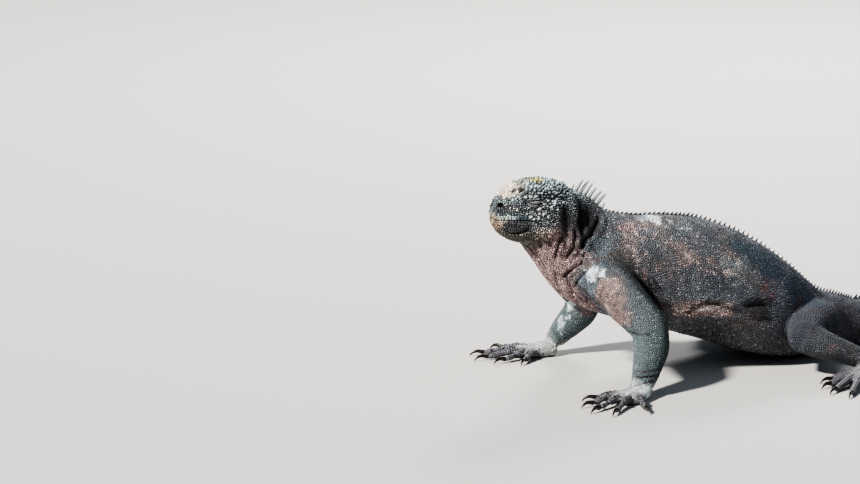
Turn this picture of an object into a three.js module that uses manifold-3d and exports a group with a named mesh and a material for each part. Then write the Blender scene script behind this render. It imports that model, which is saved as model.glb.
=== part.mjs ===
// A marine iguana at life size, basking on the floor with its front raised on both forelegs.
// Millimetres, +Z up. The nose points to -X and the animal's left side is -Y.
// The origin is on the floor, in the middle of the flat where the belly rests.

import * as THREE from "three";
import { mergeVertices } from "three/addons/utils/BufferGeometryUtils.js";
import Module from "manifold-3d";

const wasm = await Module();
wasm.setup();

// Driving dimensions
const GAP = 0.3; // clear gap between two neighbouring parts
const FLOOR = 0; // level of everything that rests
const BODY_SIDES = 22; // facets round the neck and trunk
const HEAD_SIDES = 22; // facets round the head
const TAIL_SIDES = 10; // facets round the tail
const LIMB_SIDES = 10; // facets round an arm or a leg
const DIGIT_SIDES = 6; // facets round a finger or a toe
const CLAW_SIDES = 5; // facets round a claw
const SPINE_SIDES = 4; // facets round a spine
const BALL_SIDES = [10, 6]; // facets round and up an eye or a brow
const LEFT = -1; // side of the animal's left, along Y
const RIGHT = 1; // side of the animal's right, along Y

const EYE_RADIUS = 5.6;
const EYE_PLACE = [-254, 18.7, 155.8]; // mirrored for the left eye
const MOUTH_LEVEL = 140.4;
const MOUTH_CORNER = -258; // where the mouth line ends, along X
const JAW_BOTTOM = 100; // safely under the chin
const JAW_AHEAD = -320; // safely ahead of the nose
const HEAD_YAW = 5; // degrees that the head turns to the animal's right
const YAW_PIVOT = [-212, 0]; // where the turn starts, at the top of the neck

const SPINE_ROOT = 2; // depth that a spine is rooted in the flesh
const SPINE_THICK = 1.5; // thickness of a spine at its root
const NUCHAL_HEIGHTS = [3.2, 5.6, 11.8, 12.5, 12.2, 10.8, 11, 11.2, 5]; // over the skin
const NUCHAL_THICK = 2.2; // thickness of a neck spine at its root
const NUCHAL_LEAN = [26, 42]; // degrees from the vertical, of the first and last neck spine
const TRUNK_SPINES = 42;
const TRUNK_SPINE_HEIGHT = 3;
const TRUNK_LEAN = 30; // degrees that a small spine leans back from the outward direction
const TAIL_SPINES = 54;
const TAIL_SPINE_HEIGHT = 5.5;

// Stations along the head, from the nose tip back to the nape.
// Each row: top x, top z, low x, low z, half-width, egg (wider below), squareness.
const HEAD = [
  [-283, 145, -283.2, 137, 5, 0, 2.1],
  [-281.2, 152.8, -281.4, 131, 12, 0, 2.25],
  [-276.8, 161.6, -276, 125, 16.8, 0.02, 2.3],
  [-268.2, 168.9, -267.4, 120, 20.8, 0.05, 2.4],
  [-255, 172, -256, 117.2, 24.2, 0.1, 2.45],
  [-242.4, 172.4, -244, 116, 27, 0.14, 2.45],
  [-229.4, 170.2, -232, 116.5, 28.4, 0.17, 2.35],
  [-218.4, 165.2, -221, 120, 26.8, 0.17, 2.2],
  [-214, 156, -214.5, 130, 19, 0.12, 2.1],
];

// Stations along the neck, trunk and hips, in the same form, with the tail root as the last.
const BODY = [
  [-226, 163, -262, 122, 19, 0.1, 2.1],
  [-209.5, 159, -246, 101, 24.5, 0.12, 2.1],
  [-195, 151.5, -233, 82, 30, 0.14, 2.1],
  [-180, 140, -218, 67, 36.5, 0.12, 2.1],
  [-152, 134, -186, 52, 44.5, 0.12, 2.1],
  [-121, 131.5, -145, 39, 51, 0.14, 2.15],
  [-93, 126.5, -104, 26, 56, 0.16, 2.2],
  [-60, 114, -64, 11, 59, 0.18, 2.25],
  [-29, 96, -29, 1, 56.5, 0.2, 2.3],
  [0, 74, 0, -2, 47, 0.16, 2.3],
  [22, 55, 22, -2, 37, 0.12, 2.25],
  [44, 47, 44, -1.5, 28, 0.08, 2.15],
  [62, 41, 62, -1.2, 22.5, 0.05, 2.1],
];
const NECK_END = 3; // station where the trunk takes over from the neck
const TRUNK_END = BODY.length - 1;

// The tail on the floor: a smooth turn towards the animal's left, with a flick at the tip.
const TAIL_LENGTH = 470;
const TAIL_TURN = -112; // degrees of the whole turn
const TAIL_FLICK = 34; // degrees that the tip turns back
const TAIL_STEPS = 26; // rings along the tail
const TAIL_HEIGHT = 42.2;
const TAIL_TIP_HEIGHT = 4.5;
const TAIL_HALF = 22.5;
const TAIL_TIP_HALF = 1.3;
const TAIL_SUNK = 1.2; // the underside is flattened where it lies on the floor
const TAIL_PARTS = [
  ["tail_base", 0, 9],
  ["tail_middle", 9, 18],
  ["tail_tip", 18, 26],
];

// Foreleg stations: x, outward y, z, half-thickness across, half-thickness fore and aft.
const LEFT_ARM = [
  [-203, 22, 97, 22, 24],
  [-197.5, 44, 84, 18.5, 20],
  [-186, 62, 68, 16, 17.5],
  [-176, 73, 53.5, 14.6, 15.6],
  [-178.5, 80, 38, 13.6, 15],
  [-185, 86, 24, 11.6, 13],
  [-192, 91.5, 11.5, 8.4, 10.8],
];
const RIGHT_ARM = [
  [-203, 20, 97, 22, 24],
  [-197, 40, 84, 18.5, 20],
  [-182, 54, 68, 16, 17.5],
  [-167.5, 62, 53, 14.6, 15.6],
  [-169.5, 67, 38, 13.6, 15],
  [-181, 71.6, 24, 10.8, 12],
  [-190.5, 74.6, 11.5, 8, 9.6],
];
const ELBOW = 3; // arm station where the forearm takes over
const LEG = [
  [20, 7, 29, 17, 20],
  [4, 38, 33.5, 19, 21.5],
  [-19, 65, 35, 17, 18.5],
  [-33, 83, 33, 14, 15],
  [-16, 93, 25.5, 12, 13.5],
  [4, 99, 17.5, 9.6, 11],
  [20, 104, 10, 8.2, 9],
];
const KNEE = 3; // leg station where the shin takes over
const LIMB_STEPS = 5; // rings along an upper or lower arm or leg
const JOINT_REACH = 0.62; // how far a rounded elbow or knee ends past its last station
const JOINT_SIZE = 0.66; // size of that end, both as shares of the limb's half-thickness

// Hands and feet: heading of the palm in degrees from straight ahead, positive outwards.
const HAND = { palm: 27, width: 12.5, heading: 31, thick: 6 };
const FOOT = { palm: 33, width: 10.5, heading: 38, thick: 5.5 };
const RIGHT_HAND_TURN = -22; // the right hand points further inwards
// Stations along a palm: share of its length, of its width and of its thickness.
const PALM = [
  [0, 0.86, 1.5],
  [0.3, 0.92, 1.22],
  [0.65, 1.08, 1],
  [0.95, 1, 0.78],
  [1.08, 0.6, 0.55],
];
const PALM_LOWEST = 2.5; // least height of a palm's midline
// Each digit: angle from the palm's heading, length without the claw, place across the palm.
const FINGERS = [
  [-52, 19, -0.8],
  [-20, 29, -0.62],
  [-3, 36, -0.2],
  [14, 36, 0.26],
  [48, 25, 0.68],
];
const TOES = [
  [-36, 19, -0.8],
  [-18, 30, -0.5],
  [-4, 40, -0.1],
  [11, 48, 0.3],
  [52, 30, 0.7],
];
const DIGIT_ROOT = 4.5; // half-thickness of a digit where it leaves the palm
const DIGIT_TIP = 3; // half-thickness of a digit at the claw
// Midline of a digit and of a claw: share of its length, and height over the floor.
const DIGIT_LINE = [[-0.12, 5], [0.3, 6], [0.68, 4.4], [1, 2.9]];
const DIGIT_STATIONS = [0, 0.35, 0.66, 0.95, 1];
const CLAW_LENGTH = 12;
const CLAW_ROOT = 2.1;
const CLAW_LINE = [[GAP / CLAW_LENGTH, 3.2], [0.35, 4.3], [0.7, 3.2], [0.97, 0.4]];
const CLAW_STATIONS = [0, 0.4, 0.75, 1];

const SKIN = new THREE.Color(0x4c4a4b);
const HEAD_SKIN = new THREE.Color(0x77756f);
const NECK_SKIN = new THREE.Color(0x6a5856);
const LIMB_SKIN = new THREE.Color(0x5a605c);
const CLAW_HORN = new THREE.Color(0x1f1b1a);
const EYE_DARK = new THREE.Color(0x1a1210);

const degrees = THREE.MathUtils.degToRad;
const group = new THREE.Group();

// A signed power, for sections between an ellipse and a rounded square.
function signedPower(value, power) {
  return Math.sign(value) * Math.abs(value) ** power;
}

// A closed solid through rings that all have the same number of points.
function loftGeometry(rings) {
  const sides = rings[0].length;
  const points = rings.flat();
  const index = [];
  for (let r = 0; r + 1 < rings.length; r += 1) {
    for (let i = 0; i < sides; i += 1) {
      const a = r * sides + i;
      const b = r * sides + ((i + 1) % sides);
      index.push(a, b, b + sides, a, b + sides, a + sides);
    }
  }
  for (const ring of [0, rings.length - 1]) {
    const centre = points.length;
    const middle = new THREE.Vector3();
    rings[ring].forEach((p) => middle.addScaledVector(p, 1 / sides));
    points.push(middle);
    for (let i = 0; i < sides; i += 1) {
      const a = ring * sides + i;
      const b = ring * sides + ((i + 1) % sides);
      index.push(...(ring === 0 ? [centre, b, a] : [centre, a, b]));
    }
  }
  return new THREE.BufferGeometry().setFromPoints(points).setIndex(index);
}

// A geometry as a solid that can be joined and cut.
function solid(geometry) {
  const bare = geometry.clone();
  bare.deleteAttribute("normal");
  bare.deleteAttribute("uv");
  const merged = mergeVertices(bare, 1e-4);
  const triVerts = new Uint32Array(merged.index.array);
  const vertProperties = new Float32Array(merged.attributes.position.array);
  const made = new wasm.Manifold(new wasm.Mesh({ numProp: 3, vertProperties, triVerts }));
  if (made.volume() >= 0) {
    return made;
  }
  for (let i = 0; i < triVerts.length; i += 3) {
    [triVerts[i + 1], triVerts[i + 2]] = [triVerts[i + 2], triVerts[i + 1]];
  }
  return new wasm.Manifold(new wasm.Mesh({ numProp: 3, vertProperties, triVerts }));
}

function loft(rings) {
  return solid(loftGeometry(rings));
}

// The largest piece of a cut solid, back as a named mesh of the group.
function addPart(name, made, colour, roughness) {
  const pieces = made.decompose();
  pieces.sort((a, b) => b.volume() - a.volume());
  const mesh = pieces[0].getMesh();
  const places = new Float32Array(mesh.numVert * 3);
  for (let i = 0; i < mesh.numVert; i += 1) {
    const start = i * mesh.numProp;
    places.set(mesh.vertProperties.subarray(start, start + 3), i * 3);
  }
  const geometry = new THREE.BufferGeometry();
  geometry.setAttribute("position", new THREE.BufferAttribute(places, 3));
  geometry.setIndex(new THREE.BufferAttribute(new Uint32Array(mesh.triVerts), 1));
  geometry.computeVertexNormals();
  const material = new THREE.MeshStandardMaterial({ color: colour, roughness, metalness: 0 });
  const part = new THREE.Mesh(geometry, material);
  part.name = name;
  group.add(part);
}

// Turns a point about the vertical through the top of the neck, more the nearer the nose.
function yawed(point) {
  const ahead = THREE.MathUtils.smoothstep(YAW_PIVOT[0] - point.x, -30, 30);
  const turn = -degrees(HEAD_YAW) * ahead;
  const dx = point.x - YAW_PIVOT[0];
  const dy = point.y - YAW_PIVOT[1];
  const x = YAW_PIVOT[0] + dx * Math.cos(turn) - dy * Math.sin(turn);
  const y = YAW_PIVOT[1] + dx * Math.sin(turn) + dy * Math.cos(turn);
  return new THREE.Vector3(x, y, point.z);
}

// A point of a section: angle round it, from the left over the top.
function sectionPoint(centre, side, up, half, height, egg, square, angle) {
  const c = Math.cos(angle);
  const s = Math.sin(angle);
  const across = half * signedPower(c, 2 / square) * (1 - egg * s);
  const rise = height * signedPower(s, 2 / square);
  const point = centre.clone().addScaledVector(side, across).addScaledVector(up, rise);
  point.z = Math.max(point.z, FLOOR);
  return point;
}

// Smooth curves through a table of stations.
function stationCurves(rows) {
  const curve = (pick) => new THREE.CatmullRomCurve3(rows.map(pick), false, "catmullrom", 0.5);
  return {
    count: rows.length - 1,
    top: curve((row) => new THREE.Vector3(row[0], 0, row[1])),
    low: curve((row) => new THREE.Vector3(row[2], 0, row[3])),
    shape: curve((row) => new THREE.Vector3(row[4], row[5], row[6])),
  };
}

// One ring of the head, neck or trunk at a station number, grown by a clear distance.
function bodyRing(curves, station, sides, grow = 0) {
  const t = THREE.MathUtils.clamp(station / curves.count, 0, 1);
  const top = curves.top.getPoint(t);
  const low = curves.low.getPoint(t);
  const shape = curves.shape.getPoint(t);
  const up = top.clone().sub(low);
  const height = up.length() / 2 + grow;
  up.normalize();
  const centre = top.clone().add(low).multiplyScalar(0.5);
  const side = new THREE.Vector3(0, 1, 0);
  const ring = [];
  for (let i = 0; i < sides; i += 1) {
    const angle = (2 * Math.PI * (i + 0.5)) / sides;
    ring.push(yawed(sectionPoint(
      centre, side, up, shape.x + grow, height, shape.y, shape.z, angle,
    )));
  }
  return ring;
}

// Rings from one station number to another. A grown set also reaches further at both ends.
function bodyRings(curves, from, to, steps, sides, grow = 0) {
  const rings = [];
  for (let i = 0; i <= steps; i += 1) {
    rings.push(bodyRing(curves, from + ((to - from) * i) / steps, sides, grow));
  }
  const ahead = rings[0][0].clone().sub(rings[1][0]).setLength(grow).setZ(0);
  rings[0].forEach((point) => point.add(ahead));
  const behind = new THREE.Vector3(grow, 0, 0);
  rings[steps].forEach((point) => point.add(behind));
  return rings;
}

const headCurves = stationCurves(HEAD);
const bodyCurves = stationCurves(BODY);

// Station step that gives the clear gap, from the length of one station's stretch.
function gapStep(curves, station) {
  const probe = 0.1;
  const here = curves.low.getPoint(station / curves.count);
  const next = curves.low.getPoint((station + probe) / curves.count);
  return (GAP * probe) / here.distanceTo(next);
}

// An ellipsoid with its own place and half-sizes, turned with the head.
function lump(place, sizes, side) {
  const geometry = new THREE.SphereGeometry(1, ...BALL_SIDES);
  geometry.scale(...sizes);
  geometry.translate(place[0], place[1] * side, place[2]);
  const spots = geometry.attributes.position;
  for (let i = 0; i < spots.count; i += 1) {
    const turned = yawed(new THREE.Vector3().fromBufferAttribute(spots, i));
    spots.setXYZ(i, turned.x, turned.y, turned.z);
  }
  return solid(geometry);
}

// A box from its lowest to its highest corner.
function block(low, high) {
  const size = low.map((value, i) => high[i] - value);
  const geometry = new THREE.BoxGeometry(...size);
  geometry.translate(...low.map((value, i) => (value + high[i]) / 2));
  return solid(geometry);
}

// A spine: a thin leaning cone whose root is in the flesh. The heading is that of the back.
function spine(foot, lean, heading, height, long, thick = SPINE_THICK) {
  const geometry = new THREE.ConeGeometry(1, 1, SPINE_SIDES, 1);
  geometry.translate(0, 0.5, 0);
  geometry.scale(long / 2, height + SPINE_ROOT, thick / 2);
  geometry.rotateX(Math.PI / 2);
  geometry.rotateY(lean);
  geometry.rotateZ(heading);
  const deep = new THREE.Vector3(Math.sin(lean), 0, Math.cos(lean)).multiplyScalar(-SPINE_ROOT);
  deep.applyAxisAngle(new THREE.Vector3(0, 0, 1), heading).add(foot);
  geometry.translate(deep.x, deep.y, deep.z);
  return solid(geometry);
}

// The highest point and outward direction of the back at a station number.
function backTop(station) {
  return yawed(bodyCurves.top.getPoint(station / bodyCurves.count));
}

function backOut(station) {
  const top = bodyCurves.top.getPoint(station / bodyCurves.count);
  const low = bodyCurves.low.getPoint(station / bodyCurves.count);
  return top.sub(low).normalize();
}

// Head, lower jaw and eyes
const browPlace = [-246, 14.5, 162.5];
const browSizes = [19, 8.5, 7];
const headSteps = 13;
function headSolid(grow) {
  let made = loft(bodyRings(headCurves, 0, headCurves.count, headSteps, HEAD_SIDES, grow));
  for (const side of [LEFT, RIGHT]) {
    made = made.add(lump(browPlace, browSizes.map((size) => size + grow), side));
  }
  return made;
}

const wide = 80; // half-width of the cutting blocks
const jawRoom = block([JAW_AHEAD, -wide, JAW_BOTTOM], [MOUTH_CORNER, wide, MOUTH_LEVEL]);
const jawRoomGrown = block(
  [JAW_AHEAD, -wide, JAW_BOTTOM - GAP],
  [MOUTH_CORNER + GAP, wide, MOUTH_LEVEL + GAP],
);
let head = headSolid(0);
addPart("lower_jaw", head.intersect(jawRoom), HEAD_SKIN, 0.75);
head = head.subtract(jawRoomGrown);
for (const side of [LEFT, RIGHT]) {
  const sizes = [EYE_RADIUS, EYE_RADIUS, EYE_RADIUS];
  const ball = lump(EYE_PLACE, sizes, side);
  head = head.subtract(lump(EYE_PLACE, sizes.map((size) => size + GAP), side));
  addPart(side === LEFT ? "left_eye" : "right_eye", ball, EYE_DARK, 0.2);
}
addPart("head", head, HEAD_SKIN, 0.75);

// Neck with its tall spines
const headRoom = headSolid(GAP);
const neckSteps = 6;
const neckStart = 0.05;
let neck = loft(bodyRings(bodyCurves, neckStart, NECK_END, neckSteps, BODY_SIDES));
const nuchalFrom = 0.5; // station numbers of the first and last neck spine
const nuchalTo = 2.78;
const nuchalLong = 4.4;
NUCHAL_HEIGHTS.forEach((height, i) => {
  const share = i / (NUCHAL_HEIGHTS.length - 1);
  const station = nuchalFrom + (nuchalTo - nuchalFrom) * share;
  const lean = degrees(NUCHAL_LEAN[0] + (NUCHAL_LEAN[1] - NUCHAL_LEAN[0]) * share);
  neck = neck.add(spine(backTop(station), lean, 0, height, nuchalLong, NUCHAL_THICK));
});
neck = neck.subtract(headRoom);
addPart("neck", neck, NECK_SKIN, 0.75);

// Trunk with its crest
const trunkSteps = 15;
const trunkStart = NECK_END + gapStep(bodyCurves, NECK_END);
const trunkEnd = TRUNK_END - gapStep(bodyCurves, TRUNK_END - 1);
function trunkSolid(grow) {
  return loft(bodyRings(bodyCurves, trunkStart, trunkEnd, trunkSteps, BODY_SIDES, grow));
}
const trunkRoom = trunkSolid(GAP);
const neckRoom = loft(bodyRings(bodyCurves, neckStart, NECK_END, neckSteps, BODY_SIDES, GAP));
let trunk = trunkSolid(0);
const crestFrom = NECK_END + 0.7; // station number where the low crest begins
const crestTo = TRUNK_END - 0.12;
const crestLong = 4.6;
for (let i = 0; i < TRUNK_SPINES; i += 1) {
  const station = crestFrom + ((crestTo - crestFrom) * i) / (TRUNK_SPINES - 1);
  const out = backOut(station);
  const lean = Math.atan2(out.x, out.z) + degrees(TRUNK_LEAN);
  const height = TRUNK_SPINE_HEIGHT * THREE.MathUtils.smoothstep(station, 3, 4.6);
  trunk = trunk.add(spine(backTop(station), lean, 0, height, crestLong));
}
addPart("trunk", trunk, SKIN, 0.75);

// Tail: its midline is found by walking along it while the heading turns
function tailHeading(share) {
  const turn = degrees(TAIL_TURN) * THREE.MathUtils.smoothstep(share, 0, 0.95);
  const flick = degrees(TAIL_FLICK) * THREE.MathUtils.smoothstep(share, 0.62, 1);
  return turn + flick;
}

const tailSpots = [];
const walkSteps = 260;
const tailRoot = new THREE.Vector3(BODY[TRUNK_END][0], 0, 0);
let walker = tailRoot.clone();
for (let i = 0; i <= walkSteps; i += 1) {
  tailSpots.push(walker.clone());
  const heading = tailHeading(i / walkSteps);
  const stride = TAIL_LENGTH / walkSteps;
  walker.x += stride * Math.cos(heading);
  walker.y += stride * Math.sin(heading);
}

function tailSpot(share) {
  const place = THREE.MathUtils.clamp(share, 0, 1) * walkSteps;
  const before = Math.min(Math.floor(place), walkSteps - 1);
  return tailSpots[before].clone().lerp(tailSpots[before + 1], place - before);
}

function tailSizes(along) {
  const share = THREE.MathUtils.clamp(along, 0, 1);
  const fade = (1 - share) ** 0.76;
  const height = TAIL_TIP_HEIGHT + (TAIL_HEIGHT - TAIL_TIP_HEIGHT) * fade;
  const half = TAIL_TIP_HALF + (TAIL_HALF - TAIL_TIP_HALF) * (1 - share) ** 2.1;
  return { height, half };
}

function tailRing(share) {
  const { height, half } = tailSizes(share);
  const heading = tailHeading(share);
  const side = new THREE.Vector3(-Math.sin(heading), Math.cos(heading), 0);
  const up = new THREE.Vector3(0, 0, 1);
  const centre = tailSpot(share).setZ(height / 2 - TAIL_SUNK * (1 - 0.5 * share));
  const ring = [];
  for (let i = 0; i < TAIL_SIDES; i += 1) {
    const angle = (2 * Math.PI * (i + 0.5)) / TAIL_SIDES;
    ring.push(sectionPoint(centre, side, up, half, height / 2, 0.05, 2.1, angle));
  }
  return ring;
}

function tailTop(share) {
  const { height } = tailSizes(share);
  return tailSpot(share).setZ(height - TAIL_SUNK * (1 - 0.5 * share));
}

function tailSpineHeight(share) {
  const swell = Math.sin(Math.PI * Math.min(0.25 + 1.5 * share, 1));
  return TAIL_SPINE_HEIGHT * (0.55 + 0.45 * swell) * (1 - 0.75 * share);
}

const tailSpineLong = 6;
for (const [name, first, last] of TAIL_PARTS) {
  const from = first / TAIL_STEPS + (first ? GAP / TAIL_LENGTH : 0);
  const to = last / TAIL_STEPS;
  const rings = [];
  for (let i = 0; i <= last - first; i += 1) {
    rings.push(tailRing(from + ((to - from) * i) / (last - first)));
  }
  let length = loft(rings);
  for (let i = 0; i < TAIL_SPINES; i += 1) {
    const share = (i + 0.5) / TAIL_SPINES;
    const clear = (0.6 * tailSpineLong) / TAIL_LENGTH;
    if (share > from + clear && share < to - clear) {
      const foot = tailTop(share);
      const height = tailSpineHeight(share);
      const long = tailSpineLong * (1 - 0.4 * share);
      length = length.add(spine(foot, degrees(TRUNK_LEAN), tailHeading(share), height, long));
    }
  }
  addPart(name, length, SKIN, 0.75);
}

// Arms and legs: each length is a curved tube with its own half-thicknesses at each station,
// and the upper length ends in a rounded elbow or knee.
function limbRing(centre, along, reference, halfAcross, halfFore) {
  const across = reference.clone().addScaledVector(along, -reference.dot(along)).normalize();
  const fore = new THREE.Vector3().crossVectors(along, across);
  const ring = [];
  for (let k = 0; k < LIMB_SIDES; k += 1) {
    const angle = (2 * Math.PI * (k + 0.5)) / LIMB_SIDES;
    ring.push(sectionPoint(centre, fore, across, halfFore, halfAcross, 0, 2.1, angle));
  }
  return ring;
}

function limbRings(rows, side, reference, rounded, grow = 0) {
  const places = rows.map((row) => new THREE.Vector3(row[0], row[1] * side, row[2]));
  const path = new THREE.CatmullRomCurve3(places, false, "catmullrom", 0.5);
  const halves = rows.map((row) => new THREE.Vector3(row[3], row[4], 0));
  const sizes = new THREE.CatmullRomCurve3(halves, false, "catmullrom", 0.5);
  const steps = LIMB_STEPS;
  const rings = [];
  for (let i = 0; i <= steps; i += 1) {
    const along = path.getTangent(i / steps);
    const size = sizes.getPoint(i / steps);
    const centre = path.getPoint(i / steps);
    rings.push(limbRing(centre, along, reference, size.x + grow, size.y + grow));
    if (rounded && i === steps) {
      const cap = centre.addScaledVector(along, JOINT_REACH * size.x + grow);
      const end = size.clone().multiplyScalar(JOINT_SIZE);
      rings.push(limbRing(cap, along, reference, end.x + grow, end.y + grow));
    }
  }
  return rings;
}

// Places along a heading at given shares of a length and heights over the floor.
function lineSpots(start, ahead, length, line) {
  return line.map(([share, z]) => start.clone().addScaledVector(ahead, length * share).setZ(z));
}

// One finger or toe from inside the palm to the claw, arched a little at the knuckle.
function digitPath(root, heading, length) {
  const ahead = new THREE.Vector3(-Math.cos(heading), Math.sin(heading), 0);
  return { ahead, spots: lineSpots(root, ahead, length, DIGIT_LINE) };
}

// Rings of a digit or claw along a curve, upright where the two meet.
function toeRings(curve, ahead, shares, meeting, sides, sizesAt) {
  return shares.map((share) => {
    const along = share === meeting ? ahead : curve.getTangent(share);
    const side = new THREE.Vector3(0, 0, 1).cross(along).normalize();
    const up = along.clone().cross(side).normalize();
    const { half, height } = sizesAt(share);
    const ring = [];
    for (let k = 0; k < sides; k += 1) {
      const angle = (2 * Math.PI * (k + 0.5)) / sides;
      ring.push(sectionPoint(curve.getPoint(share), side, up, half, height, 0, 2, angle));
    }
    return ring;
  });
}

function digitRings(path) {
  const curve = new THREE.CatmullRomCurve3(path.spots, false, "catmullrom", 0.5);
  return toeRings(curve, path.ahead, DIGIT_STATIONS, 1, DIGIT_SIDES, (share) => {
    const rounding = share === 1 ? 0.7 : 1;
    const half = (DIGIT_ROOT + (DIGIT_TIP - DIGIT_ROOT) * share) * rounding;
    return { half, height: 0.95 * half };
  });
}

// A claw: a thin horn that curves down until its point meets the floor.
function clawRings(path) {
  const tip = path.spots[path.spots.length - 1];
  const spots = lineSpots(tip, path.ahead, CLAW_LENGTH, CLAW_LINE);
  const curve = new THREE.CatmullRomCurve3(spots, false, "catmullrom", 0.5);
  return toeRings(curve, path.ahead, CLAW_STATIONS, 0, CLAW_SIDES, (share) => {
    const height = CLAW_ROOT * (1 - share) ** 0.7 + 0.35;
    return { half: 0.8 * height, height };
  });
}

// A hand or foot with its digits joined, and its claws as parts of their own.
function addPaw(name, wrist, side, paw, digits, turn) {
  const heading = degrees(paw.heading + turn) * side;
  const ahead = new THREE.Vector3(-Math.cos(heading), Math.sin(heading), 0);
  const across = new THREE.Vector3(Math.sin(heading), Math.cos(heading), 0).multiplyScalar(side);
  const rings = PALM.map(([share, broad, thick]) => {
    const centre = wrist.clone().addScaledVector(ahead, paw.palm * share + GAP);
    centre.z = Math.max(paw.thick * thick - 1, PALM_LOWEST);
    const up = new THREE.Vector3(0, 0, 1);
    const ring = [];
    for (let k = 0; k < LIMB_SIDES; k += 1) {
      const angle = (2 * Math.PI * (k + 0.5)) / LIMB_SIDES;
      ring.push(sectionPoint(
        centre, across, up, paw.width * broad, paw.thick * thick, 0, 2.2, angle,
      ));
    }
    return ring;
  });
  let flesh = loft(rings);
  digits.forEach(([angle, length, place], i) => {
    const root = wrist.clone().addScaledVector(ahead, paw.palm * (1 - 0.25 * Math.abs(place)));
    root.addScaledVector(across, paw.width * place);
    const path = digitPath(root, heading + degrees(angle) * side, length);
    flesh = flesh.add(loft(digitRings(path)));
    addPart(`${name}_claw_${i + 1}`, loft(clawRings(path)), CLAW_HORN, 0.45);
  });
  return flesh;
}

const armReference = new THREE.Vector3(0, 1, 0);
const legReference = new THREE.Vector3(0, 0, 1);
function addLimb(words, rows, side, middle, reference, paw, digits, turn) {
  const upperRows = rows.slice(0, middle + 1);
  const lowerRows = rows.slice(middle);
  const bodyRoom = trunkRoom.add(neckRoom);
  const upper = loft(limbRings(upperRows, side, reference, true)).subtract(bodyRoom);
  const upperRoom = loft(limbRings(upperRows, side, reference, true, GAP));
  const lower = loft(limbRings(lowerRows, side, reference, false)).subtract(upperRoom);
  const lowerRoom = loft(limbRings(lowerRows, side, reference, false, GAP));
  const wristRow = rows[rows.length - 1];
  const wrist = new THREE.Vector3(wristRow[0], wristRow[1] * side, 0);
  const flesh = addPaw(words[2], wrist, side, paw, digits, turn);
  addPart(words[0], upper, LIMB_SKIN, 0.75);
  addPart(words[1], lower, LIMB_SKIN, 0.75);
  addPart(words[2], flesh.subtract(lowerRoom), LIMB_SKIN, 0.75);
}

for (const side of [LEFT, RIGHT]) {
  const word = side === LEFT ? "left" : "right";
  const arm = side === LEFT ? LEFT_ARM : RIGHT_ARM;
  const turn = side === LEFT ? 0 : RIGHT_HAND_TURN;
  const armWords = [`${word}_upper_arm`, `${word}_forearm`, `${word}_hand`];
  addLimb(armWords, arm, side, ELBOW, armReference, HAND, FINGERS, turn);
  const legWords = [`${word}_thigh`, `${word}_shin`, `${word}_foot`];
  addLimb(legWords, LEG, side, KNEE, legReference, FOOT, TOES, 0);
}

export default group;
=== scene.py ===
"""A marine iguana at life size, basking with its front raised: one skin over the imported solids,
solid scales that follow its lie, crest spines, claws and eyes.

Shapes are worked out in millimetres, as the solids were drawn, and are turned into the frame's
metres as meshes are made. The nose points to -X, the animal's left is -Y, the floor is at z = 0.
"""

import math

import bmesh
import bpy
import numpy as np
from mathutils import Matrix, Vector
from mathutils.bvhtree import BVHTree
from mathutils.kdtree import KDTree


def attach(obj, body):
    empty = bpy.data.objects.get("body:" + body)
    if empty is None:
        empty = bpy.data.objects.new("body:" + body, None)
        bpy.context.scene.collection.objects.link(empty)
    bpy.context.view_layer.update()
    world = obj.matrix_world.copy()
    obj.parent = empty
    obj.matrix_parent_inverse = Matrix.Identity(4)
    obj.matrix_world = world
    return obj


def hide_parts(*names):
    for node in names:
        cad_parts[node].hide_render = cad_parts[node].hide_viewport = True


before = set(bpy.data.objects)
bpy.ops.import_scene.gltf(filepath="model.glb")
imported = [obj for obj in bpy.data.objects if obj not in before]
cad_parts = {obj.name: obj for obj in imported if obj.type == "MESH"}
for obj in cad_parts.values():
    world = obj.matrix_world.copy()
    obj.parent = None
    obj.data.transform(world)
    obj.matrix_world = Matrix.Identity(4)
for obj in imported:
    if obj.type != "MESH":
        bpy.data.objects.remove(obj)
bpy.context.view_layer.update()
rng = np.random.default_rng(11)

MM = 0.001
LEFT = -1
RIGHT = 1
SIDES = ((LEFT, "left"), (RIGHT, "right"))

# Camera: the photograph's viewing angle and framing, from a long lens
CAMERA_AZIMUTH = math.radians(-25)
CAMERA_ELEVATION = math.radians(12)
CAMERA_DISTANCE = 3.5
SENSOR = 36.0
VIEW_WIDTH = 0.7224  # what the picture's width spans at the animal
AIM_FROM = (-0.18, 0.0, 0.14)  # the top of the shoulders
AIM_ASIDE = -0.1478  # from there to the picture's middle, across and up
AIM_UP = -0.0269

# Depths that the skin lies inside the solids, for the scales to fill
COAT = 0.8
HEAD_COAT = 1.3
DIGIT_COAT = 0.45

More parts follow.
